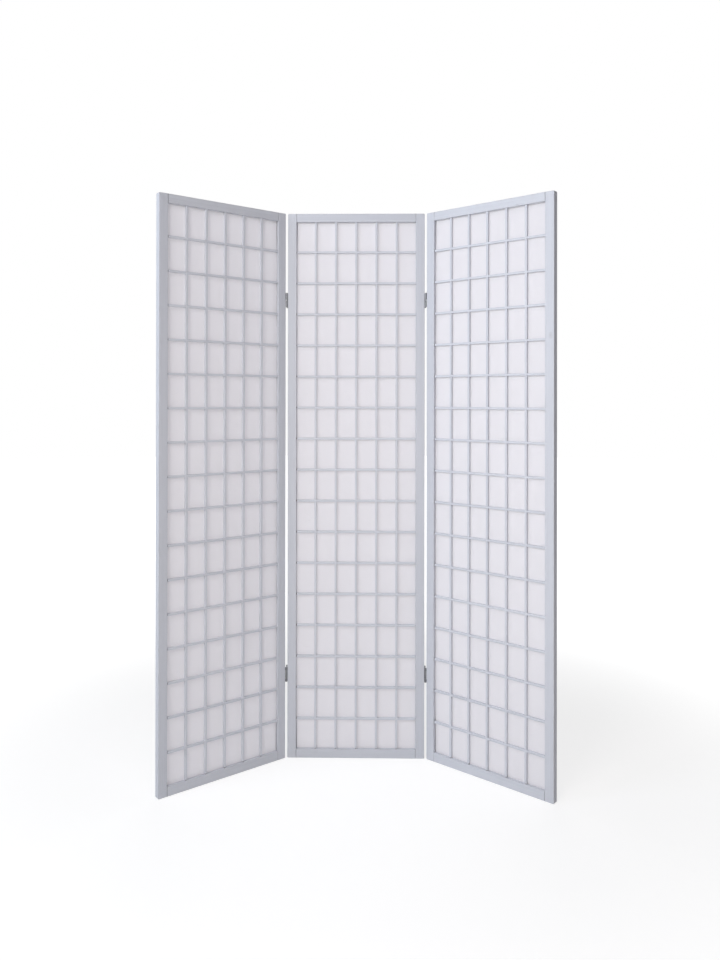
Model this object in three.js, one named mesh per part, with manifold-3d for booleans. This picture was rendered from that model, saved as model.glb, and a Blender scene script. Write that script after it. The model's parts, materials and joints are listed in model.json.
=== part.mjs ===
// Three-panel shoji folding screen, standing in a shallow U on its bottom edges.
// Millimetres, +Z up. The origin is the middle of the centre panel's bottom face,
// +X runs along the screen to the right and the front of the screen faces -Y.
import * as THREE from 'three';
import Module from 'manifold-3d';
import { mergeVertices } from 'three/addons/utils/BufferGeometryUtils.js';

// ---------- driving dimensions ----------

// Frame of one panel
const PANEL_WIDTH = 440;
const PANEL_HEIGHT = 1750;
const FRAME_DEPTH = 20;
const STILE_WIDTH = 28;
const TOP_RAIL_HEIGHT = 27;
const BOTTOM_RAIL_HEIGHT = 29;
const PANEL_CORNER_RADIUS = 3;
const EDGE_RADIUS = 1.2;

// Tenons on the rails' ends
const RAIL_TENON_LENGTH = 18;
const RAIL_TENON_THICKNESS = 8;
const RAIL_TENON_WALL = 1.5;

// Lattice of thin bars, cross-lapped flush, with short tenons into the frame
const BAR_WIDTH = 6.5;
const BAR_DEPTH = 8;
const LATTICE_SETBACK = 1.5;
const CELL_COLUMNS = 6;
const CELL_ROWS = 17;
const BAR_TENON_WIDTH = 4;
const BAR_TENON_DEPTH = 5;
const BAR_TENON_REACH = 5;
const LOOSE_SHOULDER = 2;

// Paper, tucked into a groove all round
const PAPER_THICKNESS = 0.5;
const PAPER_TUCK = 4;

// Fits
const JOINT_GAP = 0.3;
const PIN_CLEARANCE = 0.3;
const KNUCKLE_CLEARANCE = 0.5;
const COUNTERSINK_CLEARANCE = 0.2;
const BLIND_HOLE_SPARE = 0.5;

// Double-acting hinges: two leaves, a link between them and two pins
const PIN_PROUD = 1;
const PIN_RADIUS = 1.4;
const PIN_DOME = 0.6;
const PLATE_THICKNESS = 1.2;
const LEAF_HEIGHT = 46;
const LEAF_CORNER_RADIUS = 2;
const UPPER_HINGE_FROM_TOP = 278;
const LOWER_HINGE_FROM_BOTTOM = 268;

// Each hinge's knuckles from the top down, as shares of its height, and the slit
// between them
const HINGE_ROWS = [
  { name: 'upper', height: PANEL_HEIGHT - UPPER_HINGE_FROM_TOP, shares: [0.5, 0.5], slit: 2.4 },
  { name: 'lower', height: LOWER_HINGE_FROM_BOTTOM, shares: [0.2, 0.6, 0.2], slit: 0.6 },
];

// Countersunk hinge screws, two to a leaf
const SCREW_END_DISTANCE = 9.5;
const SCREW_LENGTH = 14;
const SCREW_SHANK_RADIUS = 1.4;
const SCREW_HEAD_RADIUS = 2.6;
const SCREW_HEAD_DEPTH = 1.1;
const SCREW_TIP_LENGTH = 3;
const SCREW_SUNK = 0.1;

// The wings, and how far forward each is folded as the screen stands
const WINGS = [
  { name: 'left', side: -1, fold: THREE.MathUtils.degToRad(39) },
  { name: 'right', side: 1, fold: THREE.MathUtils.degToRad(40) },
];

// Facets of the round forms
const CORNER_FACETS = 2;
const KNUCKLE_FACETS = 12;
const SCREW_FACETS = 8;

// How far a cutting shape runs past the face that it cuts
const OVERRUN = 1;

// ---------- sizes that follow ----------

const INNER_WIDTH = PANEL_WIDTH - 2 * STILE_WIDTH;
const OPENING_BOTTOM = BOTTOM_RAIL_HEIGHT;
const OPENING_TOP = PANEL_HEIGHT - TOP_RAIL_HEIGHT;

const LATTICE_FRONT = LATTICE_SETBACK - FRAME_DEPTH / 2;
const LATTICE_BACK = LATTICE_FRONT + BAR_DEPTH;
const LATTICE_MIDDLE = (LATTICE_FRONT + LATTICE_BACK) / 2;
const PAPER_FRONT = LATTICE_BACK + JOINT_GAP;
const PAPER_BACK = PAPER_FRONT + PAPER_THICKNESS;
const GROOVE_SPAN = [PAPER_FRONT - JOINT_GAP, PAPER_BACK + JOINT_GAP];
const GROOVE_DEPTH = PAPER_TUCK + BLIND_HOLE_SPARE;
const MORTISE_DEPTH = BAR_TENON_REACH + BLIND_HOLE_SPARE;
const RAIL_TENON_SHOULDER = GROOVE_DEPTH + RAIL_TENON_WALL;

const BORE_RADIUS = PIN_RADIUS + PIN_CLEARANCE;
const KNUCKLE_RADIUS = BORE_RADIUS + PLATE_THICKNESS;
const PANEL_GAP = 2 * (KNUCKLE_RADIUS + JOINT_GAP);
const PIN_Y = FRAME_DEPTH / 2 + PIN_PROUD;
const PLATE_REACH = PIN_Y - KNUCKLE_RADIUS - KNUCKLE_CLEARANCE;
const SCREW_HEIGHTS = [-1, 1].map((end) => end * (LEAF_HEIGHT / 2 - SCREW_END_DISTANCE));

const FINISHES = {
  paint: { color: 0xd6d9e2, roughness: 0.55, metalness: 0 },
  paper: { color: 0xeceef3, roughness: 0.9, metalness: 0 },
  steel: { color: 0x8d8f94, roughness: 0.38, metalness: 1 },
};

// ---------- joining and cutting ----------

const wasm = await Module();
wasm.setup();

function solidFrom(geometry) {
  const bare = geometry.clone();
  bare.deleteAttribute('normal');
  bare.deleteAttribute('uv');
  const merged = mergeVertices(bare);
  return new wasm.Manifold(new wasm.Mesh({
    numProp: 3,
    vertProperties: Float32Array.from(merged.attributes.position.array),
    triVerts: Uint32Array.from(merged.index.array),
  }));
}

function geometryFrom(solid) {
  const mesh = solid.getMesh();
  const geometry = new THREE.BufferGeometry();
  geometry.setAttribute('position', new THREE.BufferAttribute(mesh.vertProperties, 3));
  geometry.setIndex(new THREE.BufferAttribute(mesh.triVerts, 1));
  geometry.computeVertexNormals();
  return geometry;
}

function joined(geometries) {
  return geometryFrom(geometries.map(solidFrom).reduce((whole, next) => whole.add(next)));
}

function cut(geometry, tools) {
  const rest = tools.map(solidFrom).reduce((left, tool) => left.subtract(tool), solidFrom(geometry));
  return geometryFrom(rest);
}

function common(first, second) {
  return geometryFrom(solidFrom(first).intersect(solidFrom(second)));
}

// ---------- basic shapes ----------

// The span of a width about its middle, with a spare added at both ends
function about(middle, width, spare = 0) {
  return [middle - width / 2 - spare, middle + width / 2 + spare];
}

// A box from its two ends on each axis, given in either order
function box([x0, x1], [y0, y1], [z0, z1]) {
  const size = [x1 - x0, y1 - y0, z1 - z0].map(Math.abs);
  return new THREE.BoxGeometry(...size)
    .translate((x0 + x1) / 2, (y0 + y1) / 2, (z0 + z1) / 2);
}

// A rectangle with rounded corners about the origin, extruded along +Z
function roundedBar(width, height, radius, length) {
  const shape = new THREE.Shape();
  const corners = [[1, 1], [-1, 1], [-1, -1], [1, -1]];
  corners.forEach(([signX, signY], quarter) => {
    const start = quarter * Math.PI / 2;
    const x = signX * (width / 2 - radius);
    const y = signY * (height / 2 - radius);
    shape.absarc(x, y, radius, start, start + Math.PI / 2, false);
  });
  return new THREE.ExtrudeGeometry(
    shape,
    { depth: length, bevelEnabled: false, curveSegments: CORNER_FACETS },
  );
}

// A solid of revolution along X from [distance, radius] points, turned to face side
function turned(profile, side) {
  const points = profile.map(([along, radius]) => new THREE.Vector2(radius, along));
  return new THREE.LatheGeometry(points, SCREW_FACETS).rotateZ(-side * Math.PI / 2);
}

function uprightCylinder(radius, [z0, z1]) {
  return new THREE.CylinderGeometry(radius, radius, z1 - z0, KNUCKLE_FACETS)
    .rotateX(Math.PI / 2)
    .translate(0, 0, (z0 + z1) / 2);
}

function namedMesh(name, geometry, finish) {
  const mesh = new THREE.Mesh(geometry, new THREE.MeshStandardMaterial(FINISHES[finish]));
  mesh.name = name;
  return mesh;
}

// ---------- frame of a panel ----------

// Middles of the bars that share the space from start to end in equal cells
function barMiddles(start, end, cells) {
  const bars = cells - 1;
  const cell = (end - start - bars * BAR_WIDTH) / cells;
  return Array.from({ length: bars }, (_, i) => start + (i + 1) * cell + (i + 0.5) * BAR_WIDTH);
}

const COLUMN_MIDDLES = barMiddles(-INNER_WIDTH / 2, INNER_WIDTH / 2, CELL_COLUMNS);
const ROW_MIDDLES = barMiddles(OPENING_BOTTOM, OPENING_TOP, CELL_ROWS);

const TOP_RAIL = {
  height: TOP_RAIL_HEIGHT,
  innerEdge: OPENING_TOP,
  outward: 1,
  tenonSpan: [OPENING_TOP + RAIL_TENON_SHOULDER, PANEL_HEIGHT - RAIL_TENON_SHOULDER],
};
const BOTTOM_RAIL = {
  height: BOTTOM_RAIL_HEIGHT,
  innerEdge: OPENING_BOTTOM,
  outward: -1,
  tenonSpan: [RAIL_TENON_SHOULDER, OPENING_BOTTOM - RAIL_TENON_SHOULDER],
};

function panelSilhouette() {
  const depth = FRAME_DEPTH + 2 * OVERRUN;
  return roundedBar(PANEL_WIDTH, PANEL_HEIGHT, PANEL_CORNER_RADIUS, depth)
    .rotateX(Math.PI / 2)
    .translate(0, depth / 2, PANEL_HEIGHT / 2);
}

// Pilot holes for the hinge screws, from the panel's edge inwards
function pilotHoles(side) {
  const radius = SCREW_SHANK_RADIUS + JOINT_GAP;
  const depth = SCREW_LENGTH - PLATE_THICKNESS + BLIND_HOLE_SPARE;
  const profile = [[-OVERRUN, 0], [-OVERRUN, radius], [depth, radius], [depth, 0]];
  return HINGE_ROWS.flatMap(({ height }) => SCREW_HEIGHTS.map((offset) => (
    turned(profile, -side).translate(side * PANEL_WIDTH / 2, 0, height + offset)
  )));
}

function stile(side, hinged) {
  const innerFace = side * INNER_WIDTH / 2;
  const blank = roundedBar(STILE_WIDTH, FRAME_DEPTH, EDGE_RADIUS, PANEL_HEIGHT)
    .translate(side * (PANEL_WIDTH - STILE_WIDTH) / 2, 0, 0);
  const fromInnerFace = (depth) => [innerFace - side * OVERRUN, innerFace + side * depth];

  const groove = box(
    fromInnerFace(GROOVE_DEPTH),
    GROOVE_SPAN,
    [OPENING_BOTTOM - GROOVE_DEPTH, OPENING_TOP + GROOVE_DEPTH],
  );
  const barMortises = ROW_MIDDLES.map((height) => box(
    fromInnerFace(MORTISE_DEPTH),
    about(LATTICE_MIDDLE, BAR_TENON_DEPTH, JOINT_GAP),
    about(height, BAR_TENON_WIDTH, JOINT_GAP),
  ));
  const railMortises = [TOP_RAIL, BOTTOM_RAIL].map(({ tenonSpan: [low, high] }) => box(
    fromInnerFace(RAIL_TENON_LENGTH + BLIND_HOLE_SPARE),
    about(0, RAIL_TENON_THICKNESS, JOINT_GAP),
    [low - JOINT_GAP, high + JOINT_GAP],
  ));
  const screwHoles = hinged ? pilotHoles(side) : [];
  return cut(
    common(blank, panelSilhouette()),
    [groove, ...barMortises, ...railMortises, ...screwHoles],
  );
}

function rail({ height, innerEdge, outward, tenonSpan }) {
  const length = INNER_WIDTH - 2 * JOINT_GAP;
  const blank = roundedBar(height, FRAME_DEPTH, EDGE_RADIUS, length)
    .rotateY(Math.PI / 2)
    .translate(-length / 2, 0, innerEdge + outward * height / 2);
  const tenons = box(
    about(0, INNER_WIDTH, RAIL_TENON_LENGTH),
    about(0, RAIL_TENON_THICKNESS),
    tenonSpan,
  );

  const fromInnerEdge = (depth) => [innerEdge - outward * OVERRUN, innerEdge + outward * depth];
  const groove = box(about(0, PANEL_WIDTH), GROOVE_SPAN, fromInnerEdge(GROOVE_DEPTH));
  const barMortises = COLUMN_MIDDLES.map((x) => box(
    about(x, BAR_TENON_WIDTH, JOINT_GAP),
    about(LATTICE_MIDDLE, BAR_TENON_DEPTH, JOINT_GAP),
    fromInnerEdge(MORTISE_DEPTH),
  ));
  return cut(joined([blank, tenons]), [groove, ...barMortises]);
}

// ---------- lattice and paper ----------

// The bars' shoulders stand off the left stile and the bottom rail by the loose fit
function lattice() {
  const depth = [LATTICE_FRONT, LATTICE_BACK];
  const tenonDepth = about(LATTICE_MIDDLE, BAR_TENON_DEPTH);
  const rowShoulders = [LOOSE_SHOULDER - INNER_WIDTH / 2, INNER_WIDTH / 2 - JOINT_GAP];
  const rowTenons = about(0, INNER_WIDTH, BAR_TENON_REACH);
  const columnShoulders = [OPENING_BOTTOM + LOOSE_SHOULDER, OPENING_TOP - JOINT_GAP];
  const columnTenons = [OPENING_BOTTOM - BAR_TENON_REACH, OPENING_TOP + BAR_TENON_REACH];
  const rows = ROW_MIDDLES.flatMap((z) => [
    box(rowShoulders, depth, about(z, BAR_WIDTH)),
    box(rowTenons, tenonDepth, about(z, BAR_TENON_WIDTH)),
  ]);
  const columns = COLUMN_MIDDLES.flatMap((x) => [
    box(about(x, BAR_WIDTH), depth, columnShoulders),
    box(about(x, BAR_TENON_WIDTH), tenonDepth, columnTenons),
  ]);
  return joined([...rows, ...columns]);
}

function paper() {
  return box(
    about(0, INNER_WIDTH, PAPER_TUCK),
    [PAPER_FRONT, PAPER_BACK],
    [OPENING_BOTTOM - PAPER_TUCK, OPENING_TOP + PAPER_TUCK],
  );
}

function panel(name, hingedSides) {
  const group = new THREE.Group();
  const pieces = [
    ['stile_left', stile(-1, hingedSides.includes(-1)), 'paint'],
    ['stile_right', stile(1, hingedSides.includes(1)), 'paint'],
    ['rail_top', rail(TOP_RAIL), 'paint'],
    ['rail_bottom', rail(BOTTOM_RAIL), 'paint'],
    ['lattice', lattice(), 'paint'],
    ['paper', paper(), 'paper'],
  ];
  pieces.forEach(([piece, geometry, finish]) => {
    group.add(namedMesh(`${name}_${piece}`, geometry, finish));
  });
  return group;
}

// ---------- hinges ----------
// A hinge piece is made about the middle of the gap between two panels: x = 0 half way
// across the gap, y = 0 at half the frame's depth and z = 0 at the hinge's middle. A
// panelSide of 1 or -1 says which panel edge a leaf lies on, and a pinSide of -1 or 1
// whether a knuckle turns on the front or the back pin.

function knuckleSpans({ shares, slit }) {
  const spans = [];
  let top = LEAF_HEIGHT / 2;
  shares.forEach((share, i) => {
    const bottom = top - share * LEAF_HEIGHT;
    const topTrim = i > 0 ? slit / 2 : 0;
    const bottomTrim = i < shares.length - 1 ? slit / 2 : 0;
    spans.push([bottom + bottomTrim, top - topTrim]);
    top = bottom;
  });
  return spans;
}

const leafKnuckles = (row) => knuckleSpans(row).filter((_, i) => i % 2 === 0);
const linkKnuckles = (row) => knuckleSpans(row).filter((_, i) => i % 2 === 1);

// A barrel and the strap that joins it to its plate, before the pin's bore
function knuckle(pinSide, strapX, span) {
  const barrel = uprightCylinder(KNUCKLE_RADIUS, span).translate(0, pinSide * PIN_Y, 0);
  const strapEnd = PLATE_REACH - LEAF_CORNER_RADIUS;
  return joined([barrel, box(strapX, [pinSide * PIN_Y, pinSide * strapEnd], span)]);
}

function pinBore(pinSide) {
  return uprightCylinder(BORE_RADIUS, about(0, LEAF_HEIGHT, OVERRUN))
    .translate(0, pinSide * PIN_Y, 0);
}

function countersink(panelSide) {
  const headRadius = SCREW_HEAD_RADIUS + COUNTERSINK_CLEARANCE;
  const neckRadius = SCREW_SHANK_RADIUS + COUNTERSINK_CLEARANCE;
  const neck = SCREW_SUNK + SCREW_HEAD_DEPTH;
  const end = PLATE_THICKNESS + OVERRUN;
  const profile = [[-OVERRUN, 0], [-OVERRUN, headRadius], [SCREW_SUNK, headRadius],
    [neck, neckRadius], [end, neckRadius], [end, 0]];
  return turned(profile, panelSide).translate(panelSide * BORE_RADIUS, 0, 0);
}

function screw(panelSide) {
  const profile = [[0, 0], [0, SCREW_HEAD_RADIUS], [SCREW_HEAD_DEPTH, SCREW_SHANK_RADIUS],
    [SCREW_LENGTH - SCREW_TIP_LENGTH, SCREW_SHANK_RADIUS], [SCREW_LENGTH, 0]];
  return turned(profile, panelSide).translate(panelSide * (BORE_RADIUS + SCREW_SUNK), 0, 0);
}

function leaf(panelSide, pinSide, row) {
  const strapX = [panelSide * BORE_RADIUS, panelSide * KNUCKLE_RADIUS];
  const plate = roundedBar(LEAF_HEIGHT, 2 * PLATE_REACH, LEAF_CORNER_RADIUS, PLATE_THICKNESS)
    .rotateY(Math.PI / 2)
    .translate(Math.min(...strapX), 0, 0);
  const knuckles = leafKnuckles(row).map((span) => knuckle(pinSide, strapX, span));
  const sinks = SCREW_HEIGHTS.map((height) => countersink(panelSide).translate(0, 0, height));
  return cut(joined([plate, ...knuckles]), [pinBore(pinSide), ...sinks]);
}

function link(row) {
  const strapX = about(0, PLATE_THICKNESS);
  const plate = box(strapX, about(0, 2 * PLATE_REACH), about(0, LEAF_HEIGHT));
  const knuckles = linkKnuckles(row)
    .flatMap((span) => [-1, 1].map((pinSide) => knuckle(pinSide, strapX, span)));
  return cut(joined([plate, ...knuckles]), [pinBore(-1), pinBore(1)]);
}

function pin(pinSide) {
  const shank = LEAF_HEIGHT / 2;
  const end = shank + PIN_DOME;
  const domeRadius = PIN_RADIUS / 2;
  const profile = [[0, -end], [domeRadius, -end], [PIN_RADIUS, -shank], [PIN_RADIUS, shank],
    [domeRadius, end], [0, end]].map(([radius, z]) => new THREE.Vector2(radius, z));
  return new THREE.LatheGeometry(profile, SCREW_FACETS)
    .rotateX(Math.PI / 2)
    .translate(0, pinSide * PIN_Y, 0);
}

function addSteel(group, name, geometry, height) {
  const mesh = namedMesh(name, geometry, 'steel');
  mesh.position.z = height;
  group.add(mesh);
}

function addLeaf(group, name, panelSide, pinSide, row) {
  addSteel(group, name, leaf(panelSide, pinSide, row), row.height);
  SCREW_HEIGHTS.forEach((offset, i) => {
    addSteel(group, `${name}_screw_${i + 1}`, screw(panelSide), row.height + offset);
  });
}

// The centre panel's leaves, with the links and pins, which stand square to it
function squareHingePieces({ name, side }) {
  const group = new THREE.Group();
  HINGE_ROWS.forEach((row) => {
    const hinge = `${name}_hinge_${row.name}`;
    addLeaf(group, `${hinge}_centre_leaf`, -side, 1, row);
    addSteel(group, `${hinge}_link`, link(row), row.height);
    addSteel(group, `${hinge}_front_pin`, pin(-1), row.height);
    addSteel(group, `${hinge}_back_pin`, pin(1), row.height);
  });
  return group;
}

function wingLeaves({ name, side }) {
  const group = new THREE.Group();
  HINGE_ROWS.forEach((row) => {
    addLeaf(group, `${name}_hinge_${row.name}_wing_leaf`, side, -1, row);
  });
  return group;
}

// ---------- the screen ----------

// A wing with its hinge leaves, made flat in line and then folded about the front pins
function foldedWing(wing) {
  const gapToPanelMiddle = wing.side * (PANEL_GAP + PANEL_WIDTH) / 2;
  const flat = new THREE.Group();
  const wingPanel = panel(wing.name, [-wing.side]);
  wingPanel.position.x = gapToPanelMiddle;
  flat.add(wingPanel, wingLeaves(wing));
  flat.position.y = PIN_Y;

  const folded = new THREE.Group();
  folded.add(flat);
  folded.rotation.z = -wing.side * wing.fold;
  folded.position.y = -PIN_Y;
  return folded;
}

const screen = new THREE.Group();
screen.add(panel('centre', [-1, 1]));
WINGS.forEach((wing) => {
  const atGap = new THREE.Group();
  atGap.position.x = wing.side * (PANEL_WIDTH + PANEL_GAP) / 2;
  atGap.add(squareHingePieces(wing), foldedWing(wing));
  screen.add(atGap);
});

export default screen;
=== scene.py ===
"""The looks of a three-panel shoji folding screen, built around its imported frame.

Metres, +Z up. The origin is the middle of the centre panel's bottom face, +X runs along
the screen to the right, and the front of the screen faces -Y.
"""
import functools
import json
import logging
import math
import random
from collections.abc import Callable, Iterable, Mapping, Sequence
from dataclasses import dataclass, field
from enum import Enum
from typing import Any

import bmesh
import bpy
from mathutils import Matrix, Vector


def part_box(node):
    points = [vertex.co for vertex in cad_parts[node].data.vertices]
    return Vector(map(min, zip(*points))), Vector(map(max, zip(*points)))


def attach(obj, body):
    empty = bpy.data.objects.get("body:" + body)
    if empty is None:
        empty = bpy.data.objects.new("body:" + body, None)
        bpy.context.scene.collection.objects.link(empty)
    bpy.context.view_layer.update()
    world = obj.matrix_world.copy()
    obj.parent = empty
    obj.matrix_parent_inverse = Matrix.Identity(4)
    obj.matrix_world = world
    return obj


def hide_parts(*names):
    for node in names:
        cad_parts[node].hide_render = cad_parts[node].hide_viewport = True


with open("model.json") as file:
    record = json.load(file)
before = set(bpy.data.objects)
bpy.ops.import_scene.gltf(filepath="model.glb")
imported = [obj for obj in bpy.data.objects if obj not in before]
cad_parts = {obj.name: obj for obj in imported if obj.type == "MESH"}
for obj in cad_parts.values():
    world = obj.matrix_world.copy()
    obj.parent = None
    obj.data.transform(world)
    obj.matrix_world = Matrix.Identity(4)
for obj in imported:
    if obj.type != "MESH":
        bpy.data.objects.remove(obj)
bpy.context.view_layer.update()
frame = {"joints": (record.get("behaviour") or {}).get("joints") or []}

MM = 0.001
OVERRUN = 1 * MM
TINY = 0.001 * MM
LOT_SEED = 20

Span = tuple[float, float]
Colour = tuple[float, float, float]
Lump = tuple[float, float]

log = logging.getLogger("screen")


class Side(Enum):
    """Left or right, as a sign along X."""

    LEFT = -1
    RIGHT = 1

    @property
    def word(self) -> str:
        """The side's name in lower case."""
        return self.name.lower()


class Edge(Enum):
    """Bottom or top, as a sign along Z."""

    BOTTOM = -1
    TOP = 1

    @property
    def word(self) -> str:
        """The edge's name in lower case."""
        return self.name.lower()


class Pin(Enum):
    """The hinge pin in front of the panels or the one behind them, as a sign along Y."""

    FRONT = -1
    BACK = 1


class Grain(Enum):
    """The direction in which a timber's grain runs: the axes along, across and through it."""

    UPRIGHT = (2, 0, 1)
    LEVEL = (0, 2, 1)


class Carving(Enum):
    """What a second solid does to the one that it is set against."""

    CUT = "DIFFERENCE"
    JOIN = "UNION"


def tone(red: float, green: float, blue: float) -> Colour:
    """Turn a colour of 0 to 255 as a screen shows it into the light values of a shader.

    Args:
        red: The red share.
        green: The green share.
        blue: The blue share.

    Returns:
        The same colour in linear light.
    """
    shares = [share / 255 for share in (red, green, blue)]
    return tuple(s / 12.92 if s <= 0.04045 else ((s + 0.055) / 1.055) ** 2.4 for s in shares)


def about(middle: float, width: float, spare: float = 0.0) -> Span:
    """Give the span of a width about its middle.

    Args:
        middle: The middle of the span.
        width: The whole width.
        spare: What is added at both ends.

    Returns:
        The low and the high end.
    """
    return middle - width / 2 - spare, middle + width / 2 + spare


def ordered(first: float, second: float) -> Span:
    """Give two numbers as a span, the lower one first."""
    return min(first, second), max(first, second)


def sunk_span(face: float, sign: int, depth: float) -> Span:
    """Give the span from just off a face to a depth behind it, which lies on the sign's side."""
    return ordered(face - sign * OVERRUN, face + sign * depth)


# ---------- shader bench ----------


class Wire:
    """The output of a shader node, on which maths is written as plain expressions."""

    def __init__(self, bench: "Bench", socket: bpy.types.NodeSocket) -> None:
        """Keep the bench that adds nodes and the socket that this wire starts from."""
        self.bench = bench
        self.socket = socket

    def _maths(self, operation: str, *terms: "Wire | float") -> "Wire":
        """Add one Math node on these terms."""
        return self.bench.node("ShaderNodeMath", {"operation": operation}, dict(enumerate(terms)))

    def __add__(self, other: "Wire | float") -> "Wire":
        """Add a value."""
        return self._maths("ADD", self, other)

    def __radd__(self, other: float) -> "Wire":
        """Add this wire to a value."""
        return self._maths("ADD", other, self)

    def __sub__(self, other: "Wire | float") -> "Wire":
        """Take a value away."""
        return self._maths("SUBTRACT", self, other)

    def __rsub__(self, other: float) -> "Wire":
        """Take this wire away from a value."""
        return self._maths("SUBTRACT", other, self)

    def __mul__(self, other: "Wire | float") -> "Wire":
        """Multiply by a value."""
        return self._maths("MULTIPLY", self, other)

    def __rmul__(self, other: float) -> "Wire":
        """Multiply a value by this wire."""
        return self._maths("MULTIPLY", other, self)

    def __truediv__(self, other: "Wire | float") -> "Wire":
        """Divide by a value."""
        return self._maths("DIVIDE", self, other)

    def __rtruediv__(self, other: float) -> "Wire":
        """Divide a value by this wire."""
        return self._maths("DIVIDE", other, self)

    def __abs__(self) -> "Wire":
        """Drop the sign."""
        return self._maths("ABSOLUTE", self)

    def lower(self, other: "Wire | float") -> "Wire":
        """Give the lower of this wire and a value."""
        return self._maths("MINIMUM", self, other)

    def higher(self, other: "Wire | float") -> "Wire":
        """Give the higher of this wire and a value."""
        return self._maths("MAXIMUM", self, other)

    def parts(self) -> tuple["Wire", "Wire", "Wire"]:
        """Split a vector into its three numbers."""
        split = self.bench.node("ShaderNodeSeparateXYZ", {}, {0: self})
        return tuple(Wire(self.bench, socket) for socket in split.socket.node.outputs)


class Bench:
    """The node tree of one material or of the world, with the ways to add to it."""

    def __init__(self, tree: bpy.types.NodeTree) -> None:
        """Start from an empty tree."""
        self.tree = tree
        tree.nodes.clear()

    def node(
        self,
        kind: str,
        settings: Mapping[str, Any] | None = None,
        feeds: Mapping[int | str, Any] | None = None,
        output: int | str = 0,
    ) -> Wire:
        """Add a node.

        Args:
            kind: The node's type.
            settings: What is set on the node itself.
            feeds: A value or a wire for each socket that is named or numbered.
            output: The output to go on from.

        Returns:
            That output.
        """
        return Wire(self, self._add(kind, settings or {}, feeds or {}).outputs[output])

    def _add(
        self, kind: str, settings: Mapping[str, Any], feeds: Mapping[int | str, Any]
    ) -> bpy.types.Node:
        """Add a node, set it and feed its sockets.

        Args:
            kind: The node's type.
            settings: What is set on the node itself.
            feeds: A value or a wire for each socket that is named or numbered.

        Returns:
            The node.
        """
        made = self.tree.nodes.new(kind)
        for name, value in settings.items():
            setattr(made, name, value)
        for name, value in feeds.items():
            if isinstance(value, Wire):
                self.tree.links.new(value.socket, made.inputs[name])
            else:
                made.inputs[name].default_value = value
        return made

    def attribute(self, name: str) -> Wire:
        """Read a vector that each piece's mesh carries."""
        return self.node("ShaderNodeAttribute", {"attribute_name": name}, output="Vector")

    def place(self) -> Wire:
        """Read the place in the piece's own coordinates."""
        return self.node("ShaderNodeTexCoord", output="Object")

    def vector(self, x: Wire | float, y: Wire | float, z: Wire | float) -> Wire:
        """Put three numbers together as a vector."""
        return self.node("ShaderNodeCombineXYZ", {}, {0: x, 1: y, 2: z})

    def noise(self, at: Wire, scale: float = 1.0, detail: float = 3.0, warp: float = 0.0) -> Wire:
        """Add soft noise.

        Args:
            at: Where it is read.
            scale: How many lumps lie along one unit.
            detail: How many finer layers it has.
            warp: How far it is twisted.

        Returns:
            A value from 0 to 1, mostly near a half.
        """
        feeds = {"Vector": at, "Scale": scale, "Detail": detail, "Distortion": warp}
        return self.node("ShaderNodeTexNoise", {}, feeds)

    def ramp(self, value: Wire, start: float, end: float) -> Wire:
        """Turn a value smoothly from 0 at one place to 1 at another, whichever is lower.

        Args:
            value: The value.
            start: Where the result is 0.
            end: Where the result is 1.

        Returns:
            A value from 0 to 1.
        """
        settings = {"interpolation_type": "SMOOTHSTEP"}
        low, high = ordered(start, end)
        risen = self.node("ShaderNodeMapRange", settings, {0: value, 1: low, 2: high})
        return risen if start < end else 1 - risen

    def blend(self, share: Wire, first: Wire | Colour, second: Wire | Colour) -> Wire:
        """Mix two colours, from the first at share 0 to the second at share 1."""
        first, second = (c if isinstance(c, Wire) else (*c, 1.0) for c in (first, second))
        return self.node("ShaderNodeMix", {"data_type": "RGBA"}, {0: share, 6: first, 7: second}, 2)

    def relief(self, height: Wire, depth: float) -> Wire:
        """Bend the surface's normal.

        Args:
            height: The relief, from 0 to about 1.
            depth: What a height of 1 stands for, in metres.

        Returns:
            The bent normal.
        """
        return self.node("ShaderNodeBump", {}, {"Strength": 1.0, "Distance": depth, "Height": height})

    def skin(self, **feeds: Any) -> Wire:
        """Add the main surface shader, whose sockets are named with _ for a space."""
        named = {name.replace("_", " "): value for name, value in feeds.items()}
        return self.node("ShaderNodeBsdfPrincipled", {}, named)

    def seen(self) -> Wire:
        """Tell the rays that make the picture from those that only light it.

        Returns:
            1 for a ray from the camera, or one that glossy or clear things pass on, and else 0.
        """
        rays = self.node("ShaderNodeLightPath").socket.node.outputs
        names = ("Is Camera Ray", "Is Glossy Ray", "Is Transmission Ray")
        camera, glossy, clear = (Wire(self, rays[name]) for name in names)
        return camera.higher(glossy).higher(clear)

    def show(self, surface: Wire, kind: str = "ShaderNodeOutputMaterial") -> None:
        """End the tree in its output node."""
        self._add(kind, {}, {"Surface": surface})


def new_bench(name: str) -> tuple[bpy.types.Material, Bench]:
    """Make an empty material.

    Args:
        name: The material's name.

    Returns:
        The material and the bench of its nodes.
    """
    material = bpy.data.materials.new(name)
    material.use_nodes = True
    return material, Bench(material.node_tree)


# ---------- finishes ----------


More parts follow.
